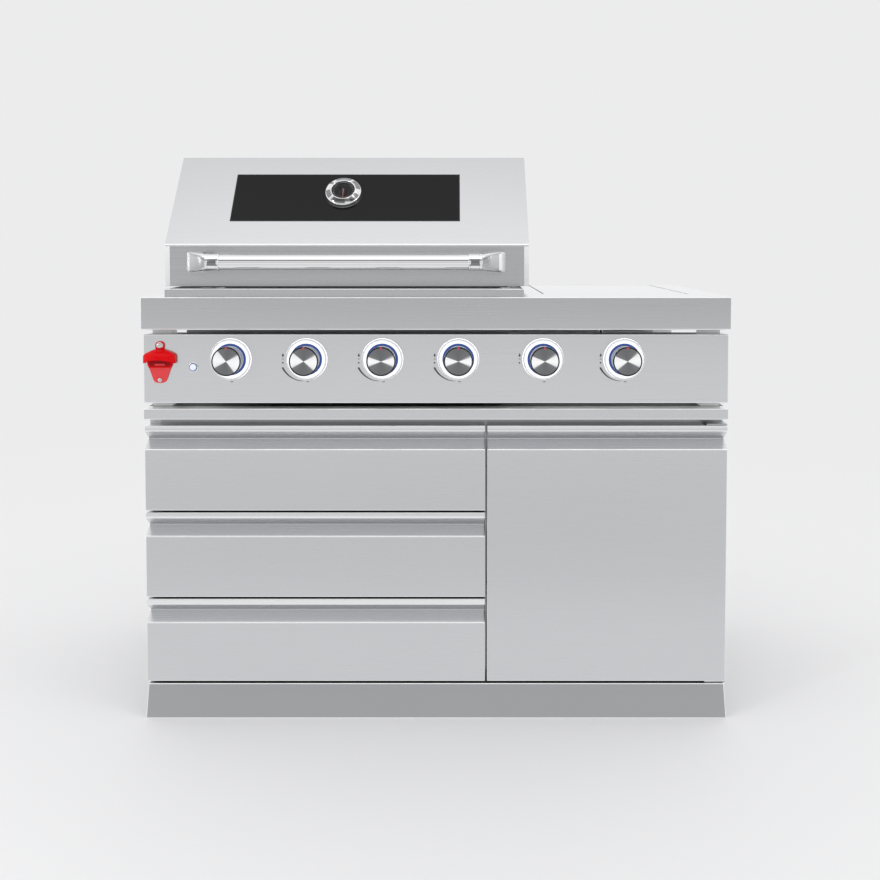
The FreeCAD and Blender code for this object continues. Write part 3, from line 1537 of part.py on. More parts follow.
def make_side_burner():
    """Side burner pan hung under the worktop, burner head, pot support and flush cover."""
    inner_x = (pan_left, pan_right)
    inner_y = (pan_front, pan_back)
    outer_x = (f"{pan_left} - sheet", f"{pan_right} + sheet")
    outer_y = (f"{pan_front} - sheet", f"{pan_back} + sheet")
    tub = box("pan_outer", outer_x, outer_y, (pan_bottom, worktop_under))
    flange = box(
        "pan_flange_sheet",
        (f"{outer_x[0]} - pan_flange", f"{outer_x[1]} + pan_flange"),
        (f"{outer_y[0]} - pan_flange", f"{outer_y[1]} + pan_flange"),
        (f"{worktop_under} - sheet", worktop_under),
    )
    inside = box("pan_inside", inner_x, inner_y, (f"{pan_bottom} + sheet", f"{worktop_under} + sheet"))
    shell = cut("pan_shell", fuse("pan_blank", [tub, flange]), [inside])
    ledge_z = (f"{cover_under} - slack - sheet", f"{cover_under} - slack")
    ledge_y = (pan_front, f"{pan_back} - 3 * cover_thickness")
    ledges = [
        box("cover_front_ledge", inner_x, (pan_front, f"{pan_front} + ledge_width"), ledge_z),
        box("cover_left_ledge", (pan_left, f"{pan_left} + ledge_width"), ledge_y, ledge_z),
        box("cover_right_ledge", (f"{pan_right} - ledge_width", pan_right), ledge_y, ledge_z),
    ]
    bore_x = (f"{outer_x[0]} - sheet", f"{outer_x[1]} + sheet")
    bore = rod("cover_pin_bore", "x", "cover_pin_radius + running", (cover_pin_y, cover_pin_z), bore_x)
    keep("side_burner_pan", cut("burner_pan", fuse("pan_body", [shell, *ledges]), [bore]))

    at = ("side_place", side_burner_y)
    pan_floor = f"({pan_bottom} + sheet)"
    bowl_floor = f"({pan_floor} + throat_height)"
    crown_floor = f"({bowl_floor} + bowl_height)"
    throat = rod("head_throat", "z", "throat_radius", at, (pan_floor, bowl_floor))
    bowl = rod("head_bowl", "z", "head_radius", at, (bowl_floor, crown_floor))
    crown = rod("head_crown", "z", "crown_radius", at, (crown_floor, f"{crown_floor} + crown_height"))
    keep("side_burner_head", fuse("burner_head", [throat, bowl, crown]))

    arm_top = f"({cover_under} - support_drop)"
    arm_z = (f"{arm_top} - 2 * support_rod", arm_top)
    half = "support_rod"
    arms = []
    for name, x_span, y_span in (
        ("across", about("side_place", "support_reach"), about(side_burner_y, half)),
        ("deep", about("side_place", half), about(side_burner_y, "support_reach")),
    ):
        arms.append(box(f"support_{name}", x_span, y_span, arm_z))
    legs = []
    for name, x_mid, y_mid in (
        ("left", "side_place - support_reach + support_rod", side_burner_y),
        ("right", "side_place + support_reach - support_rod", side_burner_y),
        ("front", "side_place", f"{side_burner_y} - support_reach + support_rod"),
        ("back", "side_place", f"{side_burner_y} + support_reach - support_rod"),
    ):
        leg_z = (pan_floor, arm_top)
        legs.append(box(f"support_{name}_leg", about(x_mid, half), about(y_mid, half), leg_z))
    keep("pan_support", fuse("support", [*arms, *legs]))

    cover_x = (cover_left, cover_right)
    cover_y = (cover_front_edge, cover_back_edge)
    lid = box("cover_outer", cover_x, cover_y, (cover_under, "worktop_height"))
    hollow = box(
        "cover_hollow",
        inset(cover_x, "worktop_sheet"),
        inset(cover_y, "worktop_sheet"),
        (f"{cover_under} - sheet", worktop_under),
    )
    reach = "(cover_gap + 2 * sheet)"
    pins = [
        rod(
            side + "_cover_pin",
            "x",
            "cover_pin_radius",
            (cover_pin_y, cover_pin_z),
            span,
        )
        for side, span in (
            ("left", (f"{cover_left} - {reach}", f"{cover_left} + worktop_sheet")),
            ("right", (f"{cover_right} - worktop_sheet", f"{cover_right} + {reach}")),
        )
    ]
    keep("side_burner_cover", fuse("cover", [cut("cover_pan", lid, [hollow]), *pins]))


def make_grease_tray():
    """Grease tray under the hopper, drawn out at the back on two guide rails."""
    tray_x = (tray_left, tray_right)
    tray_z = (tray_bottom, f"{tray_bottom} + tray_height")
    tub = box("tray_tub", tray_x, (tray_front, f"{carcass_back} + slack + sheet"), tray_z)
    inside = box(
        "tray_inside",
        inset(tray_x, "sheet"),
        (f"{tray_front} + sheet", f"{carcass_back} + slack"),
        (f"{tray_bottom} + sheet", f"{tray_z[1]} + sheet"),
    )
    plate = box(
        "tray_plate",
        (f"{tray_left} - 3 * tray_clear", f"{tray_right} + 3 * tray_clear"),
        (f"{carcass_back} + slack", f"{carcass_back} + slack + sheet"),
        (f"{deck_top} + slack", f"{tray_z[1]} + 3 * tray_clear"),
    )
    pull = box(
        "tray_pull",
        about("grill_offset", "tray_pull / 2"),
        (f"{carcass_back} + slack", f"{back} - slack"),
        (f"{tray_z[1]} - sheet", tray_z[1]),
    )
    keep("grease_tray", fuse("tray", [cut("tray_body", tub, [inside]), plate, pull]))

    rails = []
    rail_y = (tray_front, side_back)
    for side, edge, sign in (("left", tray_left, "-"), ("right", tray_right, "+")):
        outer = f"({edge} {sign} 4 * tray_clear)"
        inner = f"({edge} {'+' if sign == '-' else '-'} 4 * tray_clear)"
        guide = f"({edge} {sign} tray_clear / 2)"
        base_x = (outer, inner) if sign == "-" else (inner, outer)
        guide_x = (outer, guide) if sign == "-" else (guide, outer)
        base = box(side + "_rail_base", base_x, rail_y, (deck_top, f"{tray_bottom} - slack"))
        wall = box(side + "_rail_guide", guide_x, rail_y, (deck_top, f"{tray_bottom} + tray_height / 2"))
        rails.append(fuse(side + "_tray_rail", [base, wall]))
    keep("tray_rails", group("rails", rails))


for make in (
    make_plinth,
    make_carcass,
    make_posts,
    make_rear_panel,
    make_worktop,
    make_control_panel,
    make_opener,
    make_drawers,
    make_door,
    make_firebox,
    make_burners,
    make_grill_frame,
    make_rear_shroud,
    make_hood,
    make_thermometer,
    make_handle,
    make_knobs,
    make_gas_train,
    make_button,
    make_side_burner,
    make_grease_tray,
):
    make()

doc.recompute()
bad = [item.Name for item in doc.Objects if "Invalid" in item.State or "Error" in item.State]
if bad:
    raise SystemExit(f"failed objects: {bad}")
for node, item in nodes.items():
    shape = item.Shape
    if shape.isNull() or not shape.isValid():
        raise SystemExit(f"bad shape: {node}")
for node, item in nodes.items():
    item.Shape.exportStep(f"parts/{node}.step")
    print(f"{node}: {len(item.Shape.Solids)} solids, {item.Shape.Volume / 1000:.1f} cm3")
print(len(nodes), "nodes")
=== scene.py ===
import json
import math
import bmesh
import bpy
from mathutils import Matrix, Vector


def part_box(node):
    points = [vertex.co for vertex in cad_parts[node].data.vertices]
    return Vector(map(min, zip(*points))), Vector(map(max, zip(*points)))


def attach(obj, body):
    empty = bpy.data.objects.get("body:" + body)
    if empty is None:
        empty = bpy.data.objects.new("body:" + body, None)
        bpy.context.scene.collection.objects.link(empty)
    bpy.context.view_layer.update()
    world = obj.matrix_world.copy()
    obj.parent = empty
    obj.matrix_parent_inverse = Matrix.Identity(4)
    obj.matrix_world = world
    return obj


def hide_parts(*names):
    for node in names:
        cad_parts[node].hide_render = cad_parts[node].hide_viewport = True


# Looks for the outdoor kitchen island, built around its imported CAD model.
# Metres, front towards -Y, Z up. The dictionaries hold millimetres, those of studio and camera metres.

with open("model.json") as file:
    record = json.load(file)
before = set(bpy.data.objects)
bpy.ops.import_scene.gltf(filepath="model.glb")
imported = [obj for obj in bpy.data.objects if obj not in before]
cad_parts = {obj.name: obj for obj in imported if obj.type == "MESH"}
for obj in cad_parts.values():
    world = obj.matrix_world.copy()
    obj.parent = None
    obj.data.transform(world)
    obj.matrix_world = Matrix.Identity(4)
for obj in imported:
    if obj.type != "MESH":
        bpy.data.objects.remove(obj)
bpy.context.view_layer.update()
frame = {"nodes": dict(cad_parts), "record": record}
nodes = frame["nodes"]
bodyOf = {node: body for body, members in frame["record"]["behaviour"]["bodies"].items() for node in members}
outward = (0, -1, 0)  # the way the front faces
touch = 1e-6  # corners nearer than this are one, in metres
cadTouch = 1e-5  # the same for the triangles of the CAD model
facing = 0.5  # a face looks along an axis when its normal has more than this of it
print("frame loaded:", len(nodes), "nodes")


# Small helpers

def mm(*values):  # millimetres to a vector in metres
    return Vector([value / 1000 for value in values])


def paint(hexText):  # an sRGB colour as Blender's linear one
    channels = [int(hexText[i:i + 2], 16) / 255 for i in (1, 3, 5)]
    return [c / 12.92 if c <= 0.04045 else ((c + 0.055) / 1.055) ** 2.4 for c in channels] + [1.0]


def addNode(tree, kind, settings=None, links=None):  # settings: own attributes first, then sockets
    node = tree.nodes.new("ShaderNode" + kind)
    for key, setting in (settings or {}).items():
        if isinstance(key, int) or key in node.inputs:
            node.inputs[key].default_value = setting
        else:
            setattr(node, key, setting)
    for key, output in (links or {}).items():
        tree.links.new(output, node.inputs[key])
    return node


def newMaterial(name, settings):
    material = bpy.data.materials.new(name)
    material.use_nodes = True
    shader = material.node_tree.nodes["Principled BSDF"]
    for key, setting in settings.items():
        shader.inputs[key].default_value = setting
    return material, material.node_tree, shader


def alongAxis(centre, axis):  # turns a shape built up along Z so that it stands on centre along axis
    return Matrix.Translation(centre) @ Vector(axis).to_track_quat("Z", "Y").to_matrix().to_4x4()


def faceOut(bm):
    bmesh.ops.recalc_face_normals(bm, faces=bm.faces)


def mergeCorners(bm, reach):
    bmesh.ops.remove_doubles(bm, verts=bm.verts, dist=reach)


def thicken(bm, wall):  # a sheet becomes wall millimetres thick
    bmesh.ops.solidify(bm, geom=bm.faces[:], thickness=wall / 1000)


def spunShape(profile, steps):  # profile: (radius, height) in millimetres, spun about Z
    bm = bmesh.new()
    corners = [bm.verts.new(mm(radius, 0, height)) for radius, height in profile]
    edges = [bm.edges.new(pair) for pair in zip(corners, corners[1:])]
    bmesh.ops.spin(bm, geom=corners + edges, cent=(0, 0, 0), axis=(0, 0, 1), dvec=(0, 0, 0),
                   angle=2 * math.pi, steps=steps, use_merge=True)
    mergeCorners(bm, touch)
    faceOut(bm)
    return bm


def blockShape(low, high):  # a block between two corners in millimetres
    bm = bmesh.new()
    size = mm(*high) - mm(*low)
    middle = (mm(*high) + mm(*low)) / 2
    bmesh.ops.create_cube(bm, size=1, matrix=Matrix.Translation(middle) @ Matrix.Diagonal((*size, 1)))
    return bm


def spunParts(profiles, steps):  # each profile spun on its own, with its own material place
    shapes = []
    for part, profile in enumerate(profiles):
        shape = spunShape(profile, steps)
        for polygon in shape.faces:
            polygon.material_index = part
        shapes.append(shape)
    return shapes


def placed(shape, matrix):
    shape.transform(matrix)
    return shape


def cutAcross(bm, place, way):  # new edges where a plane crosses, nothing is taken away
    bmesh.ops.bisect_plane(bm, geom=bm.verts[:] + bm.edges[:] + bm.faces[:], dist=touch, plane_co=place,
                           plane_no=way)


def joinShapes(shapes):
    joined = bmesh.new()
    for shape in shapes:
        mesh = bpy.data.meshes.new("part")
        shape.to_mesh(mesh)
        shape.free()
        joined.from_mesh(mesh)
        bpy.data.meshes.remove(mesh)
    return joined


def sewn(shapes):  # joined, with the corners that touch made one
    joined = joinShapes(shapes)
    mergeCorners(joined, touch)
    return joined


def addObject(name, content):
    made = bpy.data.objects.new(name, content)
    bpy.context.scene.collection.objects.link(made)
    return made


# A shape, or several as one mesh. smooth: edges that turn by more degrees stay sharp.
def addPiece(name, shape, body, materials, stands=(), smooth=32, weighted=False):
    bm = joinShapes(shape) if isinstance(shape, list) else shape
    mesh = bpy.data.meshes.new(name)
    bm.to_mesh(mesh)
    bm.free()
    mesh.shade_smooth()
    mesh.set_sharp_from_angle(angle=math.radians(smooth))
    for material in materials if isinstance(materials, list) else [materials]:
        mesh.materials.append(material)
    piece = addObject(name, mesh)
    if weighted:
        even = piece.modifiers.new("evenNormals", "WEIGHTED_NORMAL")
        even.keep_sharp = True
    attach(piece, body)
    if stands:
        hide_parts(*stands)


def cornersIn(geometry):
    return [item for item in geometry if isinstance(item, bmesh.types.BMVert)]


def sharpEdges(bm, angle):  # where two faces turn by more than angle degrees
    return [e for e in bm.edges if e.calc_face_angle(0) > math.radians(angle)]


# glint gives the rounded faces a brighter material: a painted highlight along the edge.
def bevelled(bm, edges, width, segments=3, glint=0):  # glint: material place of the rounded faces
    rounded = bmesh.ops.bevel(bm, geom=edges, offset=width / 1000, segments=segments, profile=0.5,
                              affect="EDGES", clamp_overlap=True, material=-1)["faces"]
    for face in rounded if glint else ():
        face.material_index = glint


limits = {
    "turn": 8, "cadTurn": 20, "rimTurn": 60, "flatTurn": 1,  # least turns of an edge in degrees
    "length": 30, "leaf": 4.5,  # least length of a fold in the CAD model, and width of the sheet beside it
    "frontFace": -0.1,  # a face with less than this for its normal's y looks to the front
}


# Sheet metal along X: corners of its side view (y, z) from edge to edge, with every fold rounded.
# A gap (x low, x high, z low, z high) leaves front faces open. A rim closes the side view with flat ends.
# With glint the rounded folds take the brighter material of that place: a painted highlight.
def foldedSheet(corners, stations, bend, wall=0.0, rim=0.0, gaps=(), glint=0):
    bm = bmesh.new()
    line = [bm.verts.new(mm(stations[0], y, z)) for y, z in corners]
    edges = [bm.edges.new(pair) for pair in zip(line, line[1:] + (line[:1] if rim else []))]
    for start, end in zip(stations, stations[1:]):
        grown = bmesh.ops.extrude_edge_only(bm, edges=edges)["geom"]
        moved = set(cornersIn(grown))
        edges = [e for e in grown if isinstance(e, bmesh.types.BMEdge) and moved.issuperset(e.verts)]
        bmesh.ops.translate(bm, vec=mm(end - start, 0, 0), verts=list(moved))
    faceOut(bm)
    middle = sum((v.co for v in bm.verts), Vector()) / len(bm.verts)
    if sum(f.normal.dot(f.calc_center_median() - middle) * f.calc_area() for f in bm.faces) < 0:
        bmesh.ops.reverse_faces(bm, faces=bm.faces)
    for low, high, under, over in gaps:
        spots = [(f, f.calc_center_median() * 1000) for f in bm.faces
                 if f.normal.y < limits["frontFace"]]
        through = [f for f, spot in spots if low < spot.x < high and under < spot.z < over]
        bmesh.ops.delete(bm, geom=through, context="FACES")
    bevelled(bm, sharpEdges(bm, limits["turn"]), bend, glint=glint)
    if rim:
        ends = bmesh.ops.holes_fill(bm, edges=[e for e in bm.edges if e.is_boundary], sides=0)["faces"]
        for end in ends:
            end.material_index = 0
        faceOut(bm)
        bevelled(bm, list({e for end in ends for e in end.edges}), rim, 2, glint)
        wide = [f for f in bm.faces if len(f.verts) > 4]
        bmesh.ops.triangulate(bm, faces=wide, quad_method="BEAUTY", ngon_method="EAR_CLIP")
    if wall:
        thicken(bm, wall)
    return bm


# A flat outline (x, z) made thick towards the front. edge rounds its corners and rims.
def raisedOutline(corners, depth, edge=0.0):
    bm = bmesh.new()
    bmesh.ops.contextual_create(bm, geom=[bm.verts.new(mm(x, 0, z)) for x, z in corners])
    raised = bmesh.ops.extrude_face_region(bm, geom=bm.faces[:])["geom"]
    bmesh.ops.translate(bm, vec=mm(0, -depth, 0), verts=cornersIn(raised))
    faceOut(bm)
    if edge:
        bevelled(bm, sharpEdges(bm, limits["rimTurn"]), edge)
    return bm


# A CAD node copied with its triangles merged. bend rounds its long folds and gives them the near white fold
# material: a painted highlight.
def dress(node, material, bend=0.0):
    bm = bmesh.new()
    bm.from_mesh(nodes[node].data)
    mergeCorners(bm, cadTouch)
    bmesh.ops.dissolve_limit(bm, angle_limit=math.radians(limits["flatTurn"]), verts=bm.verts, edges=bm.edges,
                             use_dissolve_boundaries=False, delimit=set())
    if bend:
        folds = []
        for edge in sharpEdges(bm, limits["cadTurn"]):
            leaf = min(f.calc_area() / max(side.calc_length() for side in f.edges) for f in edge.link_faces)
            if edge.calc_length() > limits["length"] / 1000 and leaf > limits["leaf"] / 1000:
                folds.append(edge)
        bevelled(bm, folds, bend, glint=1)
    materials = [material, foldHighlightSteel] if bend else material
    addPiece(node + "_dressed", bm, bodyOf[node], materials, stands=[node], weighted=bool(bend))


# Materials

def shaded(hexText, level):  # the colour made darker or lighter
    return [min(1.0, channel * level) for channel in paint(hexText)[:3]] + [1.0]


def toneRamp(tree, stops, fac):  # stops: place from 0 to 1, and a colour or a grey level
    tone = addNode(tree, "ValToRGB", links={"Fac": fac})
    for index, (position, colour) in enumerate(stops):
        if 0 < index < len(stops) - 1:
            stop = tone.color_ramp.elements.new(position)
        else:
            stop = tone.color_ramp.elements[0 if index == 0 else -1]
        stop.position = position
        stop.color = colour if isinstance(colour, list) else (colour, colour, colour, 1)
    return tone.outputs["Color"]


# Soft clouds over the piece move one value of its shader between two levels.
def cloudOver(tree, socket, scale, detail, low, high):
    place = addNode(tree, "TexCoord")
    cloud = addNode(tree, "TexNoise", {"Scale": scale, "Detail": detail}, {"Vector": place.outputs["Object"]})
    level = addNode(tree, "MapRange", {"To Min": low, "To Max": high}, {"Value": cloud.outputs["Fac"]})
    tree.links.new(level.outputs[0], socket)


# Stainless sheet, rolled and brushed along its length: fine level lines and a soft blurred gloss.
# The real grain is about 0.2 mm; it is drawn 1.6 mm across, since a finer one can't show.
def brushedStainless(name, hexText, roughness=0.25, grain=(320, 1.6, 1.6), lines=0.01):
    material, tree, shader = newMaterial(name, {
        "Metallic": 1.0, "Roughness": roughness, "Base Color": paint(hexText)})
    place = addNode(tree, "TexCoord").outputs["Object"]
    stretched = addNode(tree, "Mapping", {"Scale": [1000 / size for size in grain]}, {"Vector": place})
    fine = addNode(tree, "TexNoise", {"Scale": 1.0, "Detail": 3.0, "Roughness": 0.6}, {
        "Vector": stretched.outputs[0]}).outputs["Fac"]
    broad = addNode(tree, "TexNoise", {"Scale": 3.1, "Detail": 1.0}, {"Vector": place})
    both = addNode(tree, "Math", {"operation": "ADD"}, {0: fine, 1: broad.outputs["Fac"]})
    level = addNode(tree, "MapRange", {"From Min": 0.6, "From Max": 1.4}, {"Value": both.outputs[0]})
    tone = toneRamp(tree, [(0.0, shaded(hexText, 1 - lines)), (1.0, shaded(hexText, 1 + lines))],
                    level.outputs[0])
    tree.links.new(tone, shader.inputs["Base Color"])
    gloss = addNode(tree, "MapRange", {"From Min": 0.3, "From Max": 0.7, "To Min": roughness - 0.02,
                                       "To Max": roughness + 0.03}, {"Value": fine})
    tree.links.new(gloss.outputs[0], shader.inputs["Roughness"])
    bump = addNode(tree, "Bump", {"Strength": 0.035, "Distance": 0.0001}, {"Height": fine})
    tree.links.new(bump.outputs["Normal"], shader.inputs["Normal"])
    return material


# Polished chromium plate on castings and tube: near mirror with faint haze.
def polishedChrome(name, hexText, roughness):
    material, tree, shader = newMaterial(name, {
        "Metallic": 1.0, "Roughness": roughness, "Base Color": paint(hexText)})
    cloudOver(tree, shader.inputs["Roughness"], 90.0, 4.0, roughness * 0.7, roughness * 1.5)
    return material


# Cast, blasted, rolled or enamelled skin with a fine grain of gritSize millimetres.
def grittySurface(name, hexText, metallic, roughness, gritSize, depth, spread):
    material, tree, shader = newMaterial(name, {
        "Metallic": metallic, "Roughness": roughness, "Base Color": paint(hexText)})
    place = addNode(tree, "TexCoord").outputs["Object"]
    grit = addNode(tree, "TexNoise", {"Scale": 1000 / gritSize, "Detail": 3.0}, {"Vector": place})
    stain = addNode(tree, "TexNoise", {"Scale": 14.0, "Detail": 3.0}, {"Vector": place})
    tone = toneRamp(tree, [(0.3, shaded(hexText, 1 - spread)), (0.7, shaded(hexText, 1 + spread))],
                    stain.outputs["Fac"])
    tree.links.new(tone, shader.inputs["Base Color"])
    bump = addNode(tree, "Bump", {"Strength": depth, "Distance": 0.0002}, {"Height": grit.outputs["Fac"]})
    tree.links.new(bump.outputs["Normal"], shader.inputs["Normal"])
    return material


worktopSteel = brushedStainless("brushedStainlessWorktop", "#c6c7c9")
hoodSteel = brushedStainless("brushedStainlessHood", "#c4c5c7")
# Lighter than the other sheets of the same steel: painted light on the control panel.
panelLightenedSteel = brushedStainless("brushedStainlessPanelLightened", "#d4d5d7")
frontSteel = brushedStainless("brushedStainlessFronts", "#cfd0d2")
# Near white: a painted highlight on the bars along the fronts' tops and on their rounded edges.
barHighlightSteel = brushedStainless("brushedStainlessGripHighlight", "#f2f3f4", 0.18)
# Near white: a painted highlight on the rounded folds of the sheets.
foldHighlightSteel = brushedStainless("brushedStainlessFoldHighlight", "#f4f5f6", 0.3)
# Lighter than the fronts: painted light in the scoops under the bars.
scoopLightenedSteel = brushedStainless("brushedStainlessScoopsLightened", "#d6d7d9")
# Darker than the other sheets of the same steel: painted shade on the plinth by the floor.
plinthShadedSteel = brushedStainless("brushedStainlessPlinthShaded", "#a9aaac", 0.3)
innerSteel = brushedStainless("millStainlessInside", "#b4b5b6", 0.34)
# Dark: painted shade on the deck's top under the burner space.
deckShadeSteel = brushedStainless("stainlessDeckPaintedShade", "#4c4d4f", 0.4)
sideSteel = brushedStainless("brushedStainlessSides", "#c8c9cb", 0.28, grain=(1.6, 320, 1.6))
postPaint = grittySurface("whitePowderCoatPosts", "#bcbcbc", 0.0, 0.4, 1.2, 0.2, 0.02)
heatSteel = grittySurface("heatTintedSteel", "#8f8b84", 1.0, 0.42, 1.6, 0.2, 0.2)
zincSheet = grittySurface("zincPlatedSheet", "#b4b7b9", 1.0, 0.4, 2.5, 0.15, 0.14)
rodSteel = grittySurface("polishedRodSteel", "#bdbdbd", 1.0, 0.22, 3.0, 0.1, 0.06)
castIron = grittySurface("mattCastIron", "#2b2b2c", 0.6, 0.6, 1.0, 0.6, 0.15)
brassCasting = grittySurface("turnedBrass", "#b58c46", 1.0, 0.28, 1.2, 0.15, 0.08)
feedTube = grittySurface("drawnAluminiumTube", "#b9bbbd", 1.0, 0.25, 3.0, 0.1, 0.05)
catchPlastic = grittySurface("mouldedNylon", "#1f1f20", 0.0, 0.5, 0.9, 0.4, 0.1)
redEnamel = grittySurface("redGlossEnamel", "#e0030e", 0.0, 0.1, 6.0, 0.05, 0.05)
# A lighter and a darker copy of the red enamel: painted light on the opener's foot and lip, painted shade
# under its visor.
paintedLightEnamel = grittySurface("redGlossEnamelPaintedLight", "#ea4d50", 0.0, 0.15, 6.0, 0.05, 0.05)
paintedShadeEnamel = grittySurface("redGlossEnamelPaintedShade", "#a00d15", 0.0, 0.3, 6.0, 0.05, 0.1)
dialBlack = grittySurface("mattDialEnamel", "#0e0f10", 0.0, 0.5, 1.0, 0.1, 0.1)
chromePlate = polishedChrome("polishedChromePlate", "#eaeaeb", 0.07)
tubeChrome = polishedChrome("polishedTubeSteel", "#e9e9ea", 0.08)
screwSteel = polishedChrome("polishedScrewSteel", "#cfcfd0", 0.2)
# Near white, half metal: painted light on the knob bezels, the ends of the handle's feet by the hood and the
# deck's front strip.
paleChromePaintedLight = grittySurface("paleSatinPaintedLight", "#fafafa", 0.4, 0.3, 3.0, 0.02, 0.01)
skirtSteel = polishedChrome("satinKnobSkirt", "#d0d1d3", 0.4)
# A grey copy of the chrome: painted shade on the thermometer's cone between its painted highlights.
coneShadedChrome = polishedChrome("greyConePaintedShade", "#8d8e90", 0.16)
# Dark: a painted reflection on the flats of the ferrules.
flatDarkReflection = polishedChrome("darkFlatPaintedReflection", "#848587", 0.2)
# Near white: a painted highlight on the edges of the hood's cheeks.
cheekEdgeHighlight = grittySurface("satinEdgePaintedHighlight", "#f6f6f6", 0.15, 0.35, 1.2, 0.05, 0.01)
# A greyer copy of the chrome: painted shade on the front of the handle's feet.
castChromeShaded = polishedChrome("greyCastChromePaintedShade", "#b9babc", 0.28)
blackChrome = polishedChrome("blackChromeRim", "#3b3c3f", 0.25)
buttonSteel = polishedChrome("blueSatinSteel", "#5d688c", 0.25)
gasketRubber = grittySurface("mouldedSilicone", "#141415", 0.0, 0.5, 0.8, 0.2, 0.1)


# Tempered glass, smoked nearly black right through: flat dark with a weak gloss.
smokedGlass, glassTree, glassShader = newMaterial("smokedTemperedGlass", {
    "Base Color": paint("#101011"), "Roughness": 0.18, "IOR": 1.3, "Specular IOR Level": 0.4})
cloudOver(glassTree, glassShader.inputs["Roughness"], 5.0, 2.0, 0.12, 0.24)

# Clear float glass over the dial: it adds only its gloss.
clearGlass, clearTree, clearShader = newMaterial("clearDialGlass", {
    "Base Color": paint("#ffffff"), "Roughness": 0.02, "IOR": 1.18, "Transmission Weight": 1.0})
cloudOver(clearTree, clearShader.inputs["Roughness"], 60.0, 2.0, 0.01, 0.04)


# Moulded diffuser lit from behind: a glow that drifts a little from place to place.
def litDiffuser(name, hexText, strength):
    material, tree, shader = newMaterial(name, {
        "Base Color": paint(hexText), "Roughness": 0.4, "Emission Color": paint(hexText)})
    cloudOver(tree, shader.inputs["Emission Strength"], 120.0, 1.0, strength * 0.85, strength * 1.15)
    return material


blueRing = litDiffuser("blueLitDiffuser", "#26417f", 0.5)
whiteRing = litDiffuser("whiteLitDiffuser", "#fbfbff", 0.4)
# The halo is no lamp: a glowing band round each bezel, painted light of the rings' glow on the panel.
paintedHaloGlow = litDiffuser("paintedGlowHalo", "#f7f8ff", 1.6)
buttonGlow = litDiffuser("paleLitButton", "#dfe6fb", 0.25)


# Knob face turned on a lathe: its fine rings are only a bump, and the light and dark sectors are a painted
# reflection in its colour.
# Its own UV map gives the angle round the face and the distance from the middle.
paintedSectorFace, turnedTree, turnedShader = newMaterial("turnedStainlessPaintedSectors", {
    "Metallic": 1.0, "Roughness": 0.14})
turnedMap = addNode(turnedTree, "UVMap", {"uv_map": "roundFace"})
turnedParts = addNode(turnedTree, "SeparateXYZ", links={"Vector": turnedMap.outputs["UV"]})
turnedAngle = addNode(turnedTree, "Math", {"operation": "MULTIPLY", 1: 4 * math.pi}, {
    0: turnedParts.outputs["X"]})
paintedSectorWave = addNode(turnedTree, "Math", {"operation": "COSINE"}, {0: turnedAngle.outputs[0]})
turnedMaps = [addNode(turnedTree, "Mapping", {"Scale": scale}, {"Vector": turnedMap.outputs["UV"]})
              for scale in ((3.0, 70.0, 1.0), (60.0, 0.4, 1.0))]
turnedRings, paintedSectorRays = [addNode(turnedTree, "TexNoise", {"Scale": 1.0, "Detail": 2.0}, {
    "Vector": stretched.outputs[0]}).outputs["Fac"] for stretched in turnedMaps]
paintedSectorMix = addNode(turnedTree, "Math", {"operation": "MULTIPLY_ADD", 1: 0.5}, {
    0: paintedSectorRays, 2: paintedSectorWave.outputs[0]})
paintedSectorLevel = addNode(turnedTree, "MapRange", {"From Min": -0.75, "From Max": 1.25}, {
    "Value": paintedSectorMix.outputs[0]})
paintedSectorStops = ((0.0, "#6f7072"), (0.42, "#7d7e80"), (0.56, "#f2f2f2"), (1.0, "#ffffff"))
paintedSectorTone = toneRamp(turnedTree, [(place, paint(hexText)) for place, hexText in paintedSectorStops],
                      paintedSectorLevel.outputs[0])
turnedTree.links.new(paintedSectorTone, turnedShader.inputs["Base Color"])
turnedBump = addNode(turnedTree, "Bump", {"Strength": 0.2, "Distance": 0.0001}, {"Height": turnedRings})
turnedTree.links.new(turnedBump.outputs["Normal"], turnedShader.inputs["Normal"])

# The enamels and the dial have a weak gloss, because a full one greys them in the pale studio.
weakGloss = 0.1
for enamel in (redEnamel, paintedLightEnamel, paintedShadeEnamel, dialBlack):
    enamel.node_tree.nodes["Principled BSDF"].inputs["Specular IOR Level"].default_value = weakGloss
# The white posts glow a little, in place of the light that the slits under the worktop hold back.
postGlow = 0.25
postShader = postPaint.node_tree.nodes["Principled BSDF"]
postShader.inputs["Emission Color"].default_value = paint("#ffffff")
postShader.inputs["Emission Strength"].default_value = postGlow
redPaint = grittySurface("redFilledMark", "#c04453", 0.0, 0.4, 1.0, 0.1, 0.05)
zoneRed = grittySurface("dullRedDialPrint", "#5c2328", 0.0, 0.5, 1.0, 0.05, 0.05)
# Black: painted shade of the burners' small holes.
portShadeBlack = grittySurface("blackPortsPaintedShade", "#141312", 0.0, 0.8, 1.0, 0.3, 0.1)
dialWhite = grittySurface("whiteDialPrint", "#e6e6e4", 0.0, 0.5, 1.0, 0.05, 0.03)
needleRed = grittySurface("needleEnamel", "#a35d65", 0.0, 0.4, 1.0, 0.05, 0.04)
greyPrint = grittySurface("greyPanelPrint", "#4a4c50", 0.0, 0.5, 1.0, 0.05, 0.05)
print("materials ready")


# Sheets whose CAD shape stays, with their long folds rounded to a radius and given a painted highlight
foldedFinish = {
    "worktop": (worktopSteel, 2.4), "plinth": (plinthShadedSteel, 2.0), "grill_frame": (worktopSteel, 1.6),
    "side_burner_cover": (worktopSteel, 1.6), "rear_panel": (frontSteel, 0.5),
}
for node, (material, radius) in foldedFinish.items():
    dress(node, material, radius)

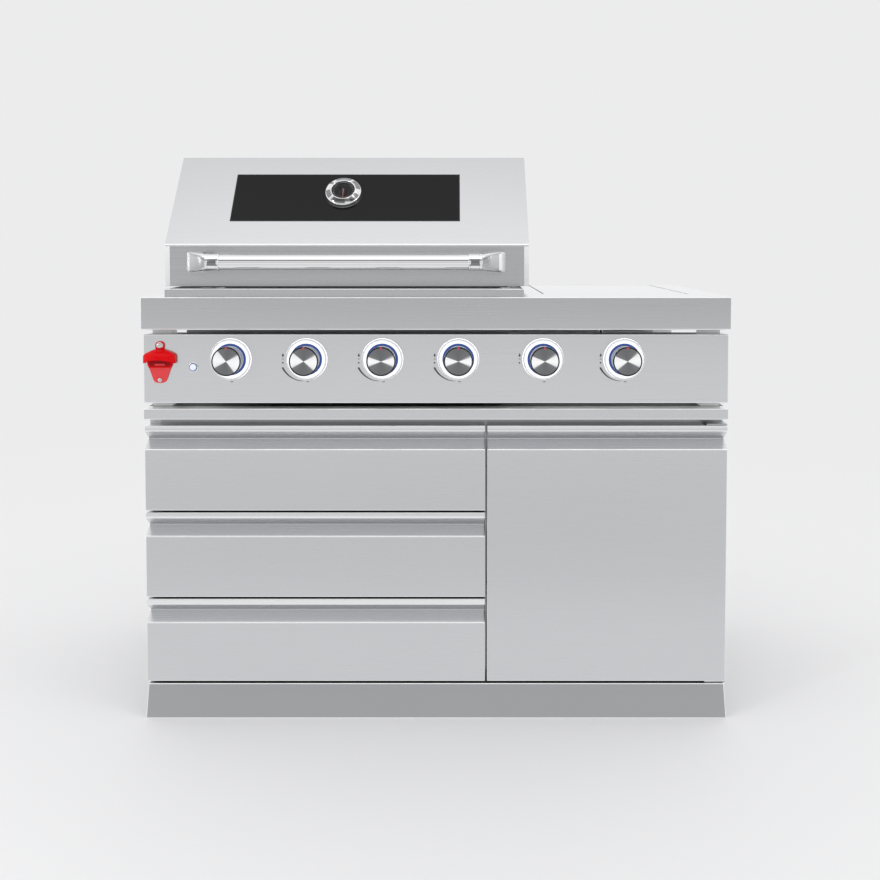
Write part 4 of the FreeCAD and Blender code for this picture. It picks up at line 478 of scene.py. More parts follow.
plainFinish = (  # CAD nodes that stay as they are
    (innerSteel, ("cabinet_floor", "centre_divider", "front_rail", "firebox", "rear_shroud",
                  "side_burner_pan", "window_frame", "drawer_1_box", "drawer_2_box", "drawer_3_box",
                  "grease_tray")),
    (zincSheet, ("tray_rails", "cabinet_runners", "door_pivots")),
    (sideSteel, ("end_plates",)),
    (catchPlastic, ("door_catch",)),
)
for material, plainNodes in plainFinish:
    for node in plainNodes:
        nodes[node].data.materials.clear()
        nodes[node].data.materials.append(material)

roundFinish = {
    "corner_posts": postPaint, "main_burners": heatSteel, "flame_tamers": heatSteel,
    "cooking_grates": rodSteel, "warming_rack": rodSteel, "rear_burner": heatSteel,
    "hood_pivot_pins": chromePlate, "gas_valves": brassCasting, "gas_manifold": zincSheet,
    "feed_pipes": feedTube, "side_burner_head": brassCasting, "pan_support": castIron,
}
for node, material in roundFinish.items():
    dress(node, material)
print("CAD sheets and castings dressed")


# Deck, side walls, control panel, drawer fronts and door
fronts = {
    "face": -271.5, "back": -234.5, "bend": 2.0, "rim": 1.8, "wall": 1.5, "scoop": 52, "pinch": 33,
    "pinchDepth": 30, "bar": 12, "barLean": 1.5, "barSlack": 1, "barSkin": 4, "scoopSkin": 2, "flange": 3,
    "deck": [(307.3, 675), (-273.5, 675), (-273.5, 651), (-261.5, 651)],
    "deckSpan": (-628, 628), "deckBend": 2.2, "deckShadeFrom": -238, "deckLevel": 0.9,
    "panel": ((-629, -273.5, 687), (629, -231.5, 836)), "panelBend": 2.4,
    "sideWalls": (-628, 603), "sideThick": 25, "sideLow": (-231.5, 74), "sideHigh": (307.3, 673.5),
    "sideBend": 1.2,
    "leaves": {  # left, right, bottom, top
        "drawer_1_front": (-628, 105.8, 453, 638), "drawer_2_front": (-628, 105.8, 263.8, 448.8),
        "drawer_3_front": (-628, 105.8, 78.5, 259.6), "door": (110.2, 628, 78.5, 638),
    },
}
deck = foldedSheet(fronts["deck"], fronts["deckSpan"], fronts["deckBend"], glint=1)
cutAcross(deck, mm(0, fronts["deckShadeFrom"], 0), (0, 1, 0))
for polygon in deck.faces:  # its top is painted dark behind that line, painted shade under the burner space, and pale along the front, painted light
    if polygon.normal.z > fronts["deckLevel"]:
        polygon.material_index = 2 if polygon.calc_center_median().y * 1000 > fronts["deckShadeFrom"] else 3
thicken(deck, fronts["wall"])
addPiece("deck_folded", deck, "island", [frontSteel, foldHighlightSteel, deckShadeSteel, paleChromePaintedLight],
         ["deck"], weighted=True)

sideWalls = [blockShape((x, *fronts["sideLow"]), (x + fronts["sideThick"], *fronts["sideHigh"]))
             for x in fronts["sideWalls"]]
for wall in sideWalls:
    bevelled(wall, wall.edges[:], fronts["sideBend"], 2)
addPiece("side_walls", sideWalls, "island", sideSteel, ["side_panels"],
         weighted=True)

panelShape = blockShape(*fronts["panel"])
bmesh.ops.delete(panelShape, geom=[f for f in panelShape.faces if f.normal.y > facing], context="FACES")
bevelled(panelShape, [e for e in panelShape.edges if len(e.link_faces) == 2], fronts["panelBend"], glint=1)
thicken(panelShape, fronts["wall"])
addPiece("control_panel_folded", panelShape, "island", [panelLightenedSteel, foldHighlightSteel],
         ["control_panel"], weighted=True)

face, back = fronts["face"], fronts["back"]
for node, (left, right, bottom, top) in fronts["leaves"].items():
    corners = [(back, bottom), (face, bottom), (face, top - fronts["scoop"]),
               (face + fronts["pinchDepth"], top - fronts["pinch"]), (face, top - fronts["bar"]),
               (face + fronts["barLean"], top), (back, top)]
    leaf = foldedSheet(corners, (left, right), fronts["bend"], rim=fronts["rim"], glint=1)
    for polygon in leaf.faces:  # painted highlight on the bar along the top and the scoop's front edge, painted light on the scoop under it
        middle = polygon.calc_center_median() * 1000
        if middle.z > top - fronts["bar"] - fronts["barSlack"] and middle.y < face + fronts["barSkin"]:
            polygon.material_index = 1
        elif (middle.z > top - fronts["scoop"] and middle.y < back - fronts["flange"]
              and abs(polygon.normal.x) < facing):
            polygon.material_index = 2 if middle.y > face + fronts["scoopSkin"] else 1
    addPiece(node + "_folded", leaf, bodyOf[node], [frontSteel, barHighlightSteel, scoopLightenedSteel],
             [node], weighted=True)
print("fronts ready")


# Hood: folded sheet with the window's opening, two cheeks, glass with a dark gasket
hood = {
    "profile": [(-213.5, 936), (-213.5, 1024), (-213.5, 1027), (-170.43, 1079.62), (-80.48, 1189.5),
                (-46.5, 1231), (148.5, 1231), (253.5, 1120), (253.5, 985)],
    "stations": (-596.5, -585.5, -463, 52, 192.5, 203.5), "bend": 2.6, "wall": 1.5, "brightBelow": 1060,
    "gaps": ((-597, -585.5, 930, 1024), (192.5, 204, 930, 1024), (-463, 52, 1079.7, 1189.4)),
    "cheek": [(-213.5, 936), (-213.5, 1023.6), (-211.8, 1026.6), (-45.6, 1229.4), (147.7, 1229.4),
              (252, 1119.2), (252, 985), (203.5, 936)],
    "cheeks": ((-596.5, -585.5), (192.5, 203.5)), "cheekBend": 0.6, "cheekRim": 4.4, "cheekFlat": 0.8,
    "slopeFoot": (0, -213.5, 1027), "slope": (167, 204),  # back and up
    "glass": (-463, 52, 68, 210), "gasket": (2.2, 0.35, 3.0),  # gasket: width, proud and deep
}
slopeBack, slopeRise = hood["slope"]
slopeUp = Vector((0, slopeBack, slopeRise)).normalized()
slopeOut = Vector((0, -slopeRise, slopeBack)).normalized()


def onSlope(x, along):  # a seat on the hood's slope: X to the right, Y up the slope, Z out of it
    turn = Matrix((slopeUp.cross(slopeOut), slopeUp, slopeOut)).transposed().to_4x4()
    return Matrix.Translation(mm(*hood["slopeFoot"]) + mm(x, 0, 0) + slopeUp * along / 1000) @ turn


shell = foldedSheet(hood["profile"], hood["stations"], hood["bend"], hood["wall"], gaps=hood["gaps"], glint=1)
for polygon in shell.faces:  # the painted fold highlight stays only on the fold over the handle
    if polygon.calc_center_median().z * 1000 > hood["brightBelow"]:
        polygon.material_index = 0
addPiece("hood_folded", shell, "hood", [hoodSteel, foldHighlightSteel], ["hood_shell"], weighted=True)
cheeks = joinShapes([foldedSheet(hood["cheek"], ends, hood["cheekBend"], rim=hood["cheekRim"])
                     for ends in hood["cheeks"]])
# The cheeks' edges take a near white copy of the steel: a painted highlight.
for polygon in cheeks.faces:
    polygon.material_index = 0 if abs(polygon.normal.x) > hood["cheekFlat"] else 1
addPiece("hood_cheeks", cheeks, "hood", [sideSteel, cheekEdgeHighlight], ["hood_side_panels"],
         weighted=True)
left, right, low, high = hood["glass"]
width, proud, deep = hood["gasket"]
strips = [placed(blockShape(*corners), onSlope(0, 0)) for corners in (
    ((left, low, -deep), (right, low + width, proud)),
    ((left, high - width, -deep), (right, high, proud)),
    ((left, low + width, -deep), (left + width, high - width, proud)),
    ((right - width, low + width, -deep), (right, high - width, proud)),
)]
addPiece("window_gasket", strips, "hood", gasketRubber)
dress("hood_window", smokedGlass)
print("hood ready")


# Handle: polished tube in two turned ferrules that flare into cast feet
handle = {
    "axis": (-196.5, -271.5, 990), "radius": 16, "wall": 2, "halfTube": 284, "tubeSteps": 96,
    "ferrule": [(16.0, 266.0), (17.6, 266.0), (18.5, 267.0), (18.5, 270.5), (17.7, 271.4), (17.7, 289.6),
                (18.5, 290.5), (18.5, 295.0), (17.4, 296.0)],
    "ferruleSteps": 72, "flat": ((267.5, -17.9, -7.2), (290.5, -15, 7.2)), "flatEdge": 0.8,
}
axisX, axisY, axisZ = handle["axis"]
handleAxis = mm(*handle["axis"])
half, outer = handle["halfTube"], handle["radius"]
inner = outer - handle["wall"]
tube = spunShape([(inner, -half), (outer, -half), (outer, half), (inner, half)], handle["tubeSteps"])
tube.transform(alongAxis(handleAxis, (1, 0, 0)))
addPiece("handle_tube", tube, "hood", tubeChrome, ["handle_bar"])

# Each pair gives a value at the round neck and one at the foot; square is the power of the rounded square.
foot = {
    "ahead": (294.5, 330), "inward": (0, 58), "wide": (17.2, 18), "tall": (17.2, 23.5), "square": (2.0, 9.0),
    "sections": 12, "corners": 40, "paintedPaleFrom": 334, "upright": 0.6,
}


def footValue(key, share):
    neck, end = foot[key]
    return neck + (end - neck) * share


# A casting swept from a round neck to a squared foot on the hood; sign is its side.
def flaredFoot(sign):
    bm = bmesh.new()
    rings = []
    for section in range(foot["sections"] + 1):
        turn = section / foot["sections"] * math.pi / 2
        ahead, wide, tall, square = [footValue(key, math.sin(turn))
                                     for key in ("ahead", "wide", "tall", "square")]
        inward = footValue("inward", 1 - math.cos(turn))
        ring = []
        for corner in range(foot["corners"]):
            angle = 2 * math.pi * corner / foot["corners"]
            across, up = [math.copysign(abs(part) ** (2 / square), part)
                          for part in (math.cos(angle), math.sin(angle))]
            ring.append(bm.verts.new(mm(
                axisX + sign * (ahead - across * wide * math.sin(turn)),
                axisY + inward + across * wide * math.cos(turn), axisZ + up * tall)))
        rings.append([bm.edges.new((ring[i - 1], ring[i])) for i in range(len(ring))])
    for first, second in zip(rings, rings[1:]):
        bmesh.ops.bridge_loops(bm, edges=first + second)
    for ring in (rings[0], rings[-1]):
        bmesh.ops.holes_fill(bm, edges=ring, sides=0)
    faceOut(bm)
    for polygon in bm.faces:
        away = abs(polygon.calc_center_median().x * 1000 - axisX)
        if abs(polygon.normal.z) < foot["upright"]:  # a greyer copy of the chrome at the front, painted shade, and a pale one where it meets the hood, painted highlight
            polygon.material_index = 1 if away < foot["paintedPaleFrom"] else 2
    return bm


castings = []
flats = []  # a dark flat on the front of each ferrule: a painted dark reflection
for sign in (-1, 1):
    ferrule = spunShape(handle["ferrule"], handle["ferruleSteps"])
    castings += [placed(ferrule, alongAxis(handleAxis, (sign, 0, 0))), flaredFoot(sign)]
    flat = blockShape(*handle["flat"])
    bevelled(flat, flat.edges[:], handle["flatEdge"], 2)
    side = Matrix.Rotation(0 if sign > 0 else math.pi, 4, "Y")
    flats.append(placed(flat, Matrix.Translation(handleAxis) @ side))
addPiece("handle_castings", castings, "hood", [chromePlate, castChromeShaded, paleChromePaintedLight],
         ["handle_brackets"], smooth=40)
addPiece("ferrule_flats", flats, "hood", flatDarkReflection)
print("handle ready")


# Bottle opener: enamelled casting with a round tab, a hooded mouth and a rounded foot
opener = {
    "seat": (-591.5, -273.5), "plateDepth": 5, "edge": 1.4,
    "half": [(0, 821), (4.2, 820.4), (7.5, 818.2), (9.5, 815.0), (10, 811.5), (9.3, 806.5), (9.2, 800),
             (16, 790), (24, 782), (27.5, 775), (26.5, 769), (22.5, 761), (18.5, 750), (14.8, 739),
             (12.2, 734.4), (8.0, 731.8), (0, 731)],
    "mouth": [(-26.2, 784), (26.2, 784), (20.5, 767), (-20.5, 767)], "mouthProud": 0.6, "mouthEdge": 0.3,
    "paintedLit": 764, "catch": ((-11, -1.6, 769), (11, 0, 773)), "catchEdge": 0.6,
    "screwHead": [(0, 3.0), (2.4, 2.8), (4.0, 2.0), (4.9, 0.7), (5.0, 0)], "screwSteps": 40,
    "screws": ((812, 1.5), (738, 1.0)),  # level, and size of the head
}
seatX, seatY = opener["seat"]
outline = [(seatX + x, z) for x, z in opener["half"]] + [(seatX - x, z) for x, z in opener["half"][-2:0:-1]]
plate = raisedOutline(outline, opener["plateDepth"], opener["edge"])
plate.transform(Matrix.Translation(mm(0, seatY, 0)))
# Below that level the plate takes the lighter red: painted light.
cutAcross(plate, mm(0, 0, opener["paintedLit"]), (0, 0, 1))
for polygon in plate.faces:
    polygon.material_index = 1 if polygon.calc_center_median().z * 1000 < opener["paintedLit"] else 0
mouth = raisedOutline(opener["mouth"], opener["mouthProud"], opener["mouthEdge"])  # a dark patch under the visor: painted shade in place of its hollow
catch = blockShape(*opener["catch"])  # the lip that takes a crown cap, in the painted light red
bevelled(catch, catch.edges[:], opener["catchEdge"], 2)
for shape, part in ((mouth, 2), (catch, 1)):
    for polygon in shape.faces:
        polygon.material_index = part
    shape.transform(Matrix.Translation(mm(seatX, seatY - opener["plateDepth"], 0)))

# The visor is a grid bent into a dome. Shares of its drop: full and wide; shares of its half width: flank.
visor = {
    "across": 34, "down": 18, "neck": 8, "spread": 27, "swell": 0.9, "top": 804, "drop": 22, "sag": 8,
    "root": 5, "reach": 20, "round": 0.75, "wall": 3.2, "full": 0.8, "wide": 0.5, "flank": 0.9,
    "turnBack": 0.1, "tuck": 1.5, "rest": 1,
}
cap = bmesh.new()
bmesh.ops.create_grid(cap, x_segments=visor["across"], y_segments=visor["down"], size=0.5)
for corner in cap.verts:
    side, fall = corner.co.x * 2, 0.5 - corner.co.y
    bulge = math.sin(math.pi / 2 * min(1.0, fall / visor["full"]))
    shoulder = math.sin(math.pi / 2 * min(1.0, fall / visor["wide"]))
    across = max(-1.0, min(1.0, side / visor["flank"]))  # the outer columns turn back to the plate
    closing = max(0.0, (abs(side) - visor["flank"]) / visor["turnBack"])
    half = visor["neck"] + visor["spread"] * shoulder ** visor["swell"]
    stand = visor["root"] + visor["reach"] * bulge * (1 - visor["round"] * across * across)
    corner.co = mm(seatX + across * (half - closing * visor["tuck"]),
                   seatY - stand + closing * (stand - visor["rest"]),
                   visor["top"] - visor["drop"] * fall - visor["sag"] * across * across * fall)
faceOut(cap)
if sum(face.normal.y for face in cap.faces) > 0:
    bmesh.ops.reverse_faces(cap, faces=cap.faces)
thicken(cap, visor["wall"])
addPiece("bottle_opener_casting", [plate, cap, mouth, catch], "island",
         [redEnamel, paintedLightEnamel, paintedShadeEnamel], ["bottle_opener"], smooth=50)
heads = []
for level, size in opener["screws"]:
    profile = [(radius * size, height) for radius, height in opener["screwHead"]]
    spot = mm(seatX, seatY - opener["plateDepth"], level)
    heads.append(placed(spunShape(profile, opener["screwSteps"]), alongAxis(spot, outward)))
addPiece("opener_screw_heads", heads, "island", screwSteel, ["opener_screws"], smooth=40)
print("bottle opener ready")


# Knobs with lit rings
knobs = {
    "places": (-440.85, -277.95, -115.05, 47.85, 230, 404),
    "level": 782, "panel": -273.5, "radius": 31.0, "steps": 120, "ringSteps": 72,
    "face": [(0, 44.5), (24.0, 44.6), (28.0, 44.6), (28.3, 44.4)],
    "rim": [(28.3, 44.4), (28.7, 44.9), (29.6, 45.0), (30.6, 44.7), (31.0, 43.9)],
    "side": [(31.0, 43.9), (31.0, 36.4), (30.3, 35.6), (28.4, 32.0), (27.8, 30.5), (27.3, 6.0), (27.2, 2.0),
             (4.0, 2.0), (4.0, -34.0), (0, -34.0)],
    "bezel": [(40.5, 0), (40.5, 4.9), (42.0, 7.4), (42.8, 8.0), (43.5, 7.3), (44.0, 5.6), (44.0, 0)],
    "blueRing": [(28.6, 4.4), (34.0, 4.4)],
    "whiteRing": [(34.0, 4.4), (34.3, 5.0), (40.0, 5.0), (40.5, 4.9), (40.5, 0), (28.0, 0), (28.0, 3.8),
                  (28.6, 4.4)],
    "halo": [(44.05, 0.1), (44.5, 0.1), (44.5, 0.7), (44.05, 0.7), (44.05, 0.1)],
    "mark": ((-1.9, 25.0, 44.4), (1.9, 30.8, 45.0)),
    "paintedBright": (39, 33, 19, 19, 26, 30),  # half width of the painted light sectors, degrees
    "turned": (12, 6, 0, 0, -4, -8),  # how far the painted sectors lean, degrees
}
hubs = [mm(place, knobs["panel"], knobs["level"]) for place in knobs["places"]]


def paintedSectorTurn(angle, half, lean):  # widens or narrows the painted light sectors: the map repeats every half turn
    turned = math.degrees(angle) + lean
    turns = math.floor((turned + 90) / 180)
    part = turned - 180 * turns
    warped = abs(part) / half * 45 if abs(part) < half else 45 + (abs(part) - half) / (90 - half) * 45
    return (180 * turns + math.copysign(warped, part)) / 360


for index, (hub, half, lean) in enumerate(zip(hubs, knobs["paintedBright"], knobs["turned"]), start=1):
    body = sewn(spunParts([knobs[profile] for profile in ("face", "rim", "side")], knobs["steps"]))
    faceOut(body)
    body.transform(alongAxis(hub, outward))
    mapLayer = body.loops.layers.uv.new("roundFace")
    for polygon in body.faces:
        middle = polygon.calc_center_median() - hub
        for loop in polygon.loops:
            away = loop.vert.co - hub
            radius = math.hypot(away.x, away.z)
            spot = away if radius > touch else middle
            turn = paintedSectorTurn(math.atan2(spot.z, spot.x), half, lean)
            turn -= round(turn - paintedSectorTurn(math.atan2(middle.z, middle.x), half, lean))
            loop[mapLayer].uv = (turn, radius / (knobs["radius"] / 1000))
    addPiece(f"knob_{index}_body", body, f"knob_{index}", [paintedSectorFace, blackChrome, skirtSteel],
             [f"knob_{index}"], smooth=28)
    mark = blockShape(*knobs["mark"])
    mark.transform(Matrix.Translation(hub) @ Matrix.Rotation(math.pi / 2, 4, "X"))
    addPiece(f"knob_{index}_mark", mark, f"knob_{index}", redPaint)

for name, profiles, materials, slot, stands in (
    # the bezels' chrome is drawn near white: painted light
    ("knob_bezel_rings", ["bezel"], [paleChromePaintedLight], "chrome", ["knob_bezels"]),
    ("knob_diffusers", ["blueRing", "whiteRing"], [blueRing, whiteRing], "light_diffuser",
     ["knob_light_rings"]),
    # a glowing band round each bezel: painted light
    ("knob_painted_glow_halos", ["halo"], [paintedHaloGlow], "light_diffuser", []),
):
    shapes = []
    for hub in hubs:
        shapes += [placed(shape, alongAxis(hub, outward))
                   for shape in spunParts([knobs[profile] for profile in profiles], knobs["ringSteps"])]
    addPiece(name, sewn(shapes), "island", materials, stands, smooth=40)
print("knobs ready")


# Printed flame, dashes, dot and fading arc beside the knobs
prints = {
    "out": 0.06, "arc": (54.5, 47.5, 199, 262),  # radii and degrees of its start and end
    "arcWidth": (4.2, 0.7), "arcSteps": 28, "arcKnobs": (2, 3, 4, 6),
    "flame": [(-50.8, 5.0), (-48.4, 6.4), (-48.6, 9.0), (-50.5, 13.2), (-52.4, 9.2), (-53.0, 6.6)],
    "dash": [(-52.8, -0.2), (-48.4, -0.2), (-48.4, 1.1), (-52.8, 1.1)],
    "dot": [(-52.1, -9.4), (-49.5, -9.4), (-48.7, -7.6), (-50.8, -5.2), (-52.9, -7.6)],
    "foot": [(-0.5, -49.4), (5.4, -49.4), (5.4, -47.9), (-0.5, -47.9)],
}
outer, inner, first, last = prints["arc"]
broad, narrow = prints["arcWidth"]
shapes = []
for index, hub in enumerate(hubs, start=1):
    outlines = ("foot",) if index == 1 else ("flame", "dash", "dot", "foot")
    marks = [raisedOutline(prints[outline], prints["out"]) for outline in outlines]
    if index in prints["arcKnobs"]:
        band = bmesh.new()
        bmesh.ops.create_grid(band, x_segments=prints["arcSteps"], y_segments=1, size=0.5)
        for corner in band.verts:
            t, side = corner.co.x + 0.5, corner.co.y
            turn = math.radians(first + (last - first) * t)
            reach = outer + (inner - outer) * t + side * (broad * (1 - t) + narrow * t)
            corner.co = mm(reach * math.cos(turn), 0, reach * math.sin(turn))
        raised = bmesh.ops.extrude_face_region(band, geom=band.faces[:])["geom"]
        bmesh.ops.translate(band, vec=mm(0, -prints["out"], 0), verts=cornersIn(raised))
        faceOut(band)
        marks.append(band)
    shapes += [placed(mark, Matrix.Translation(hub)) for mark in marks]
addPiece("panel_marks", shapes, "island", greyPrint)
print("printed marks ready")


# Light button
button = {
    "seat": (-521, -273.5, 765), "steps": 40,
    "ring": [(7.05, -13.5), (7.05, 2.0), (7.4, 2.5), (9.0, 2.6)],
    "rim": [(9.0, 2.6), (10.0, 2.3), (10.8, 1.6), (11.0, 0.8), (11.0, 0), (9.0, 0), (9.0, -17.9),
            (7.05, -17.9), (7.05, -13.5)],
    "cap": [(0, 5.0), (5.8, 5.0), (6.6, 4.7), (7.0, 4.0), (7.0, -11.0), (0, -11.0)],
}
for name, profiles, body, materials, slot, stands in (
    ("button_rim_ring", ("ring", "rim"), "island", [buttonSteel, chromePlate], "chrome", ["button_bezel"]),
    ("light_button_cap", ("cap",), "button", [buttonGlow], "light_diffuser", ["light_button"]),
):
    shape = sewn(spunParts([button[profile] for profile in profiles], button["steps"]))
    faceOut(shape)
    shape.transform(alongAxis(mm(*button["seat"]), outward))
    addPiece(name, shape, body, materials, stands)
print("button ready")


# Thermometer on the hood
thermometer = {
    "place": (-213.5, 150), "steps": 90,
    "case": [(0, 10.0), (25.2, 10.0), (25.6, 10.4), (26.0, 14.8), (26.8, 16.0), (27.8, 16.5), (28.8, 16.2),
             (39.0, 11.2), (40.2, 10.2), (41.0, 8.8), (41.4, 7.2), (41.6, 2.6), (42.2, 1.4), (42.5, 0.0),
             (0, 0.0)],
    "dial": [(0, 10.5), (25.1, 10.5), (25.3, 10.3), (25.3, 9.8), (0, 9.8)],
    "lens": [(0, 15.8), (20.0, 15.5), (25.6, 14.8), (25.6, 13.6), (0, 13.6)],
    "paintedBand": (28.8, 39.0), "paintedLevel": 0.1,
    "paintedHighlights": ((56, 4), (126, 8), (163, 15), (222, 5), (289, 9), (320, 5), (351, 12)),  # painted highlights on the cone: angle, half width
    "tick": ((20.6, -0.25, 10.5), (23.6, 0.25, 10.7)),
    "tickTurns": [-225 + 270 * step / 18 for step in range(19)],
    "redSpot": ((17.6, -0.6, 10.5), (19.8, 0.6, 10.7)),
    "redTurns": [-45 - 90 * (step + 0.5) / 16 for step in range(16)],
}
dialSeat = onSlope(*thermometer["place"])
inner, outer = thermometer["paintedBand"]
for name, profile, material, slot, stands in (
    ("thermometer_bezel", "case", chromePlate, "chrome", ["thermometer_case"]),
    ("thermometer_dial", "dial", dialBlack, "black_glass", []),
    ("thermometer_glass", "lens", clearGlass, "clear_glass", ["thermometer_lens"]),
):
    shape = spunShape(thermometer[profile], thermometer["steps"])
    for polygon in shape.faces if profile == "case" else ():  # the bezel's cone is a grey copy of the chrome, painted shade, between painted highlights
        spot = polygon.calc_center_median() * 1000
        angle = math.degrees(math.atan2(spot.y, spot.x))
        paintedLit = any(abs((angle - middle + 180) % 360 - 180) < half for middle, half in thermometer["paintedHighlights"])
        onCone = inner < math.hypot(spot.x, spot.y) < outer and spot.z > thermometer["paintedLevel"]
        polygon.material_index = 1 if onCone and not paintedLit else 0
    shape.transform(dialSeat)
    materials = [material, coneShadedChrome] if profile == "case" else material
    addPiece(name, shape, "hood", materials, stands, smooth=30)
for name, block, turns, material in (
    ("thermometer_ticks", "tick", "tickTurns", dialWhite),
    ("thermometer_red_zone", "redSpot", "redTurns", zoneRed),
):
    marks = [placed(blockShape(*thermometer[block]), dialSeat @ Matrix.Rotation(math.radians(turn), 4, "Z"))
             for turn in thermometer[turns]]
    addPiece(name, marks, "hood", material)
dress("thermometer_needle", needleRed)
print("thermometer ready")


# Gas ports of the tubes and of the side burner, and the rear panel's screws and top hem
details = {
    "tubes": (-440.85, -277.95, -115.05, 47.85), "tubeLevel": 782, "tubeRadius": 15, "lean": 38, "along": 30,
    "margin": 22, "portRadius": 1.5, "portDepth": 0.8, "portSides": 6,
    "head": (404, 76.5, 868), "headRadius": 52, "round": 32,
    "hem": ((-628, 307.4, 789), (628, 308.5, 800)), "hemEdge": 0.3,
    "screw": [(0, 2.0), (2.2, 1.8), (3.6, 1.2), (4.2, 0.4), (4.2, 0)], "screwSteps": 16, "rearFace": 308.5,
    "screws": [(x, z) for x in (-612, 612) for z in (92, 262, 432, 602, 772)]
    + [(x, z) for x in (-408, -204, 0, 204, 408) for z in (92, 772)] + [(108, 262), (108, 432), (108, 602)],
}


def portAt(centre, away, radius):  # a small hole drawn as a low black disc at that radius: painted shade inside the hole
    port = bmesh.new()
    portRadius = details["portRadius"] / 1000
    bmesh.ops.create_cone(port, cap_ends=True, segments=details["portSides"], radius1=portRadius,
                          radius2=portRadius, depth=details["portDepth"] / 1000,
                          matrix=alongAxis(centre + away * radius / 1000, away))
    return port


tubeFront, tubeBack = [corner.y * 1000 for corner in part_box("main_burners")]
tubeReach = tubeBack - tubeFront - 2 * details["margin"]
ports = []
for place in details["tubes"]:
    for side in (-1, 1):
        lean = math.radians(details["lean"]) * side
        away = Vector((math.sin(lean), 0, math.cos(lean)))
        for step in range(details["along"]):
            y = tubeFront + details["margin"] + tubeReach * step / (details["along"] - 1)
            ports.append(portAt(mm(place, y, details["tubeLevel"]), away, details["tubeRadius"]))
for step in range(details["round"]):
    turn = 2 * math.pi * step / details["round"]
    away = Vector((math.cos(turn), math.sin(turn), 0))
    ports.append(portAt(mm(*details["head"]), away, details["headRadius"]))
addPiece("gas_ports", ports, "island", portShadeBlack)
screws = [placed(spunShape(details["screw"], details["screwSteps"]),
                 alongAxis(mm(x, details["rearFace"], z), (0, 1, 0))) for x, z in details["screws"]]
addPiece("rear_panel_screws", screws, "island", screwSteel)
hem = blockShape(*details["hem"])
bevelled(hem, hem.edges[:], details["hemEdge"], 2)
addPiece("rear_panel_hem", hem, "island", frontSteel)
print("ports and screws ready")


# Floor, world and lights
studio = {
    "floor": 10.5, "floorCorners": 96, "floorColour": "#eeeeef", "backColour": "#ececed", "fade": (1.6, 6.0),
    "mirrored": 0.8,  # how much of the plain paper metal shows in place of the shaded floor
    "ahead": -8.0,  # the reflected levels of the paper run from the middle to here
    "floorAhead": ((0.0, 1.15), (0.11, 1.12), (0.16, 0.95), (0.36, 0.95), (0.56, 1.3), (1.0, 1.3)),
    # levels of the sky from straight down to straight up, and where the front one gives way to the back one
    "frontSky": ((0.0, 0.54), (0.49, 0.54), (0.51, 0.53), (0.56, 0.86), (0.68, 0.86), (0.71, 0.18),
                 (0.80, 0.18), (0.84, 1.0), (1.0, 1.1)),
    "backSky": ((0.0, 0.85), (0.49, 0.9), (0.5, 1.4), (0.57, 1.25), (0.63, 1.0), (0.9, 1.0), (1.0, 1.1)),
    "change": (-0.75, -0.3),
    "lamps": (  # name, place, aimed at, width, height, watts
        ("ceilingSoftbox", (0.0, -1.6, 3.6), (0, 0, 0.6), 3.4, 2.2, 9),
        ("leftStrip", (-2.3, -2.3, 1.7), (-0.2, -0.2, 0.8), 0.07, 1.5, 10),
        ("rightStrip", (2.6, -2.0, 2.0), (0.2, -0.2, 0.8), 0.07, 1.5, 6),
    ),
}

floorShape = bmesh.new()
bmesh.ops.create_circle(floorShape, cap_ends=True, cap_tris=False, segments=studio["floorCorners"],
                        radius=studio["floor"])
floorMesh = bpy.data.meshes.new("studioFloor")
floorShape.to_mesh(floorMesh)
floorShape.free()
addObject("studioFloor", floorMesh)

# Matt pale studio paper that fades into the background a few metres away.
paper, paperTree, paperShader = newMaterial("mattStudioPaper", {
    "Base Color": paint(studio["floorColour"]), "Roughness": 0.9, "Specular IOR Level": 0.1})
paperPlace = addNode(paperTree, "TexCoord")
paperReach = addNode(paperTree, "VectorMath", {"operation": "LENGTH"}, {0: paperPlace.outputs["Object"]})
fadeStart, fadeEnd = studio["fade"]
paperFade = addNode(paperTree, "MapRange", {
    "interpolation_type": "SMOOTHSTEP", "From Min": fadeStart, "From Max": fadeEnd}, {
    "Value": paperReach.outputs["Value"]})
paperBack = addNode(paperTree, "Emission", {"Color": paint(studio["backColour"]), "Strength": 1.0})
paperSeen = addNode(paperTree, "LightPath")
paperFar = addNode(paperTree, "Math", {"operation": "MULTIPLY"}, {
    0: paperFade.outputs[0], 1: paperSeen.outputs["Is Camera Ray"]})
paperMixing = addNode(paperTree, "Math", {"operation": "MULTIPLY_ADD", 1: studio["mirrored"]}, {
    0: paperSeen.outputs["Is Glossy Ray"], 2: paperFar.outputs[0]})
paperMix = addNode(paperTree, "MixShader", links={
    0: paperMixing.outputs[0], 1: paperShader.outputs[0], 2: paperBack.outputs[0]})
paperTree.links.new(paperMix.outputs[0], paperTree.nodes["Material Output"].inputs["Surface"])
# Only reflections see the levels below, which change with the distance in front of the island.
paperParts = addNode(paperTree, "SeparateXYZ", links={"Vector": paperPlace.outputs["Object"]})
paperAhead = addNode(paperTree, "MapRange", {"From Min": 0.0, "From Max": studio["ahead"]}, {
    "Value": paperParts.outputs["Y"]})
paperLevel = toneRamp(paperTree, studio["floorAhead"], paperAhead.outputs[0])
paperLess = addNode(paperTree, "Math", {"operation": "SUBTRACT", 1: 1.0}, {0: paperLevel})
paperPower = addNode(paperTree, "Math", {"operation": "MULTIPLY_ADD", 2: 1.0}, {
    0: paperLess.outputs[0], 1: paperSeen.outputs["Is Glossy Ray"]})
paperTree.links.new(paperPower.outputs[0], paperBack.inputs["Strength"])
floorMesh.materials.append(paper)

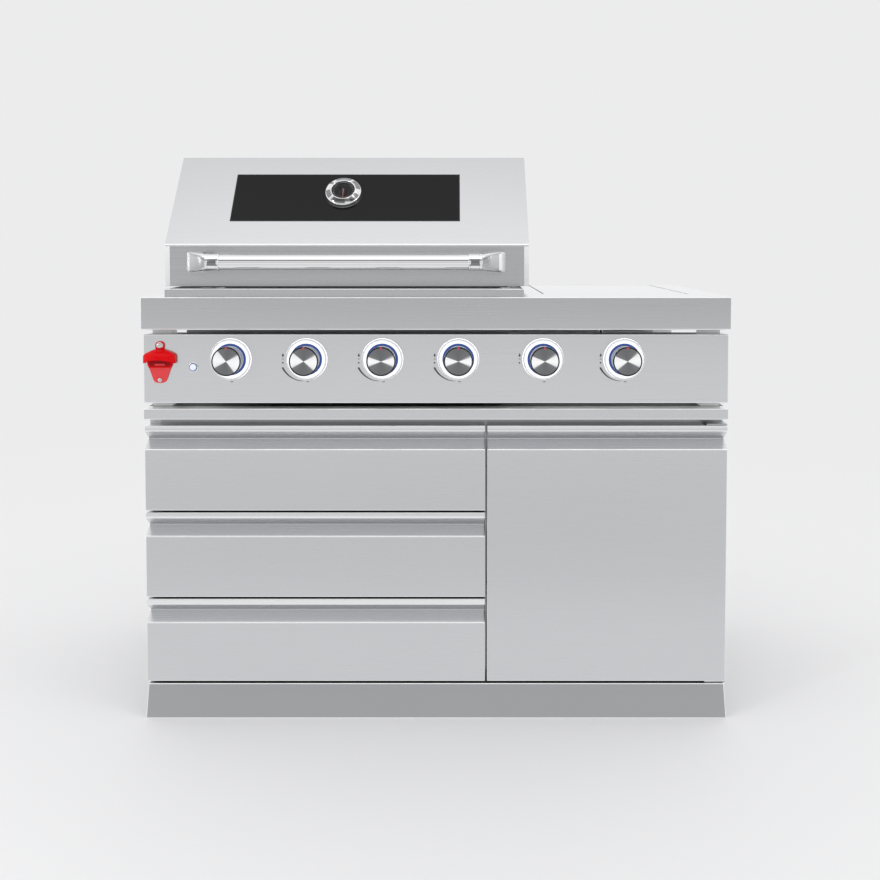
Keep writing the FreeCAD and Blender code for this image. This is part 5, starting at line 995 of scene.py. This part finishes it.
world = bpy.data.worlds.new("paleStudio")
bpy.context.scene.world = world
world.use_nodes = True
worldTree = world.node_tree
worldTree.nodes.clear()
worldPlace = addNode(worldTree, "TexCoord")
worldHeight = addNode(worldTree, "SeparateXYZ", links={"Vector": worldPlace.outputs["Generated"]})
worldLevel = addNode(worldTree, "MapRange", {"From Min": -1.0, "From Max": 1.0}, {
    "Value": worldHeight.outputs["Z"]})
frontTone, backTone = [toneRamp(worldTree, studio[key], worldLevel.outputs[0])
                       for key in ("frontSky", "backSky")]
changeStart, changeEnd = studio["change"]
worldTurn = addNode(worldTree, "MapRange", {
    "interpolation_type": "SMOOTHSTEP", "From Min": changeStart, "From Max": changeEnd}, {
    "Value": worldHeight.outputs["Y"]})
worldTone = addNode(worldTree, "Mix", {"data_type": "RGBA"}, {
    0: worldTurn.outputs[0], 6: frontTone, 7: backTone})
worldLit = addNode(worldTree, "Background", {"Strength": 1.0}, {"Color": worldTone.outputs[2]})
worldBack = addNode(worldTree, "Background", {"Color": paint(studio["backColour"]), "Strength": 1.0})
worldSeen = addNode(worldTree, "LightPath")
worldMix = addNode(worldTree, "MixShader", links={
    0: worldSeen.outputs["Is Camera Ray"], 1: worldLit.outputs[0], 2: worldBack.outputs[0]})
addNode(worldTree, "OutputWorld", links={"Surface": worldMix.outputs[0]})

for name, place, aim, width, height, watts in studio["lamps"]:
    lamp = bpy.data.lights.new(name, "AREA")
    lamp.shape = "RECTANGLE"
    lamp.size, lamp.size_y, lamp.energy = width, height, watts
    holder = addObject(name, lamp)
    holder.location = place
    holder.rotation_euler = (Vector(aim) - Vector(place)).to_track_quat("-Z", "Y").to_euler()
print("studio ready")


# Camera, from the perspective lines of the photograph
view = {
    "eye": (0.0394, -2.4494, 1.0353), "lens": 41.635, "sensor": 36,  # lens and sensor in real millimetres
    "tilt": 2.28, "shiftX": -0.01631, "shiftY": -0.18, "farEnd": 60,
}
cameraData = bpy.data.cameras.new("mainCamera")
cameraData.sensor_width = view["sensor"]
cameraData.lens = view["lens"]
cameraData.shift_x, cameraData.shift_y = view["shiftX"], view["shiftY"]
cameraData.clip_end = view["farEnd"]
camera = addObject("mainCamera", cameraData)
camera.location = view["eye"]
camera.rotation_euler = (math.radians(90 - view["tilt"]), 0, 0)
bpy.context.scene.camera = camera
bpy.context.scene.view_settings.view_transform = "Standard"

print("scene ready")
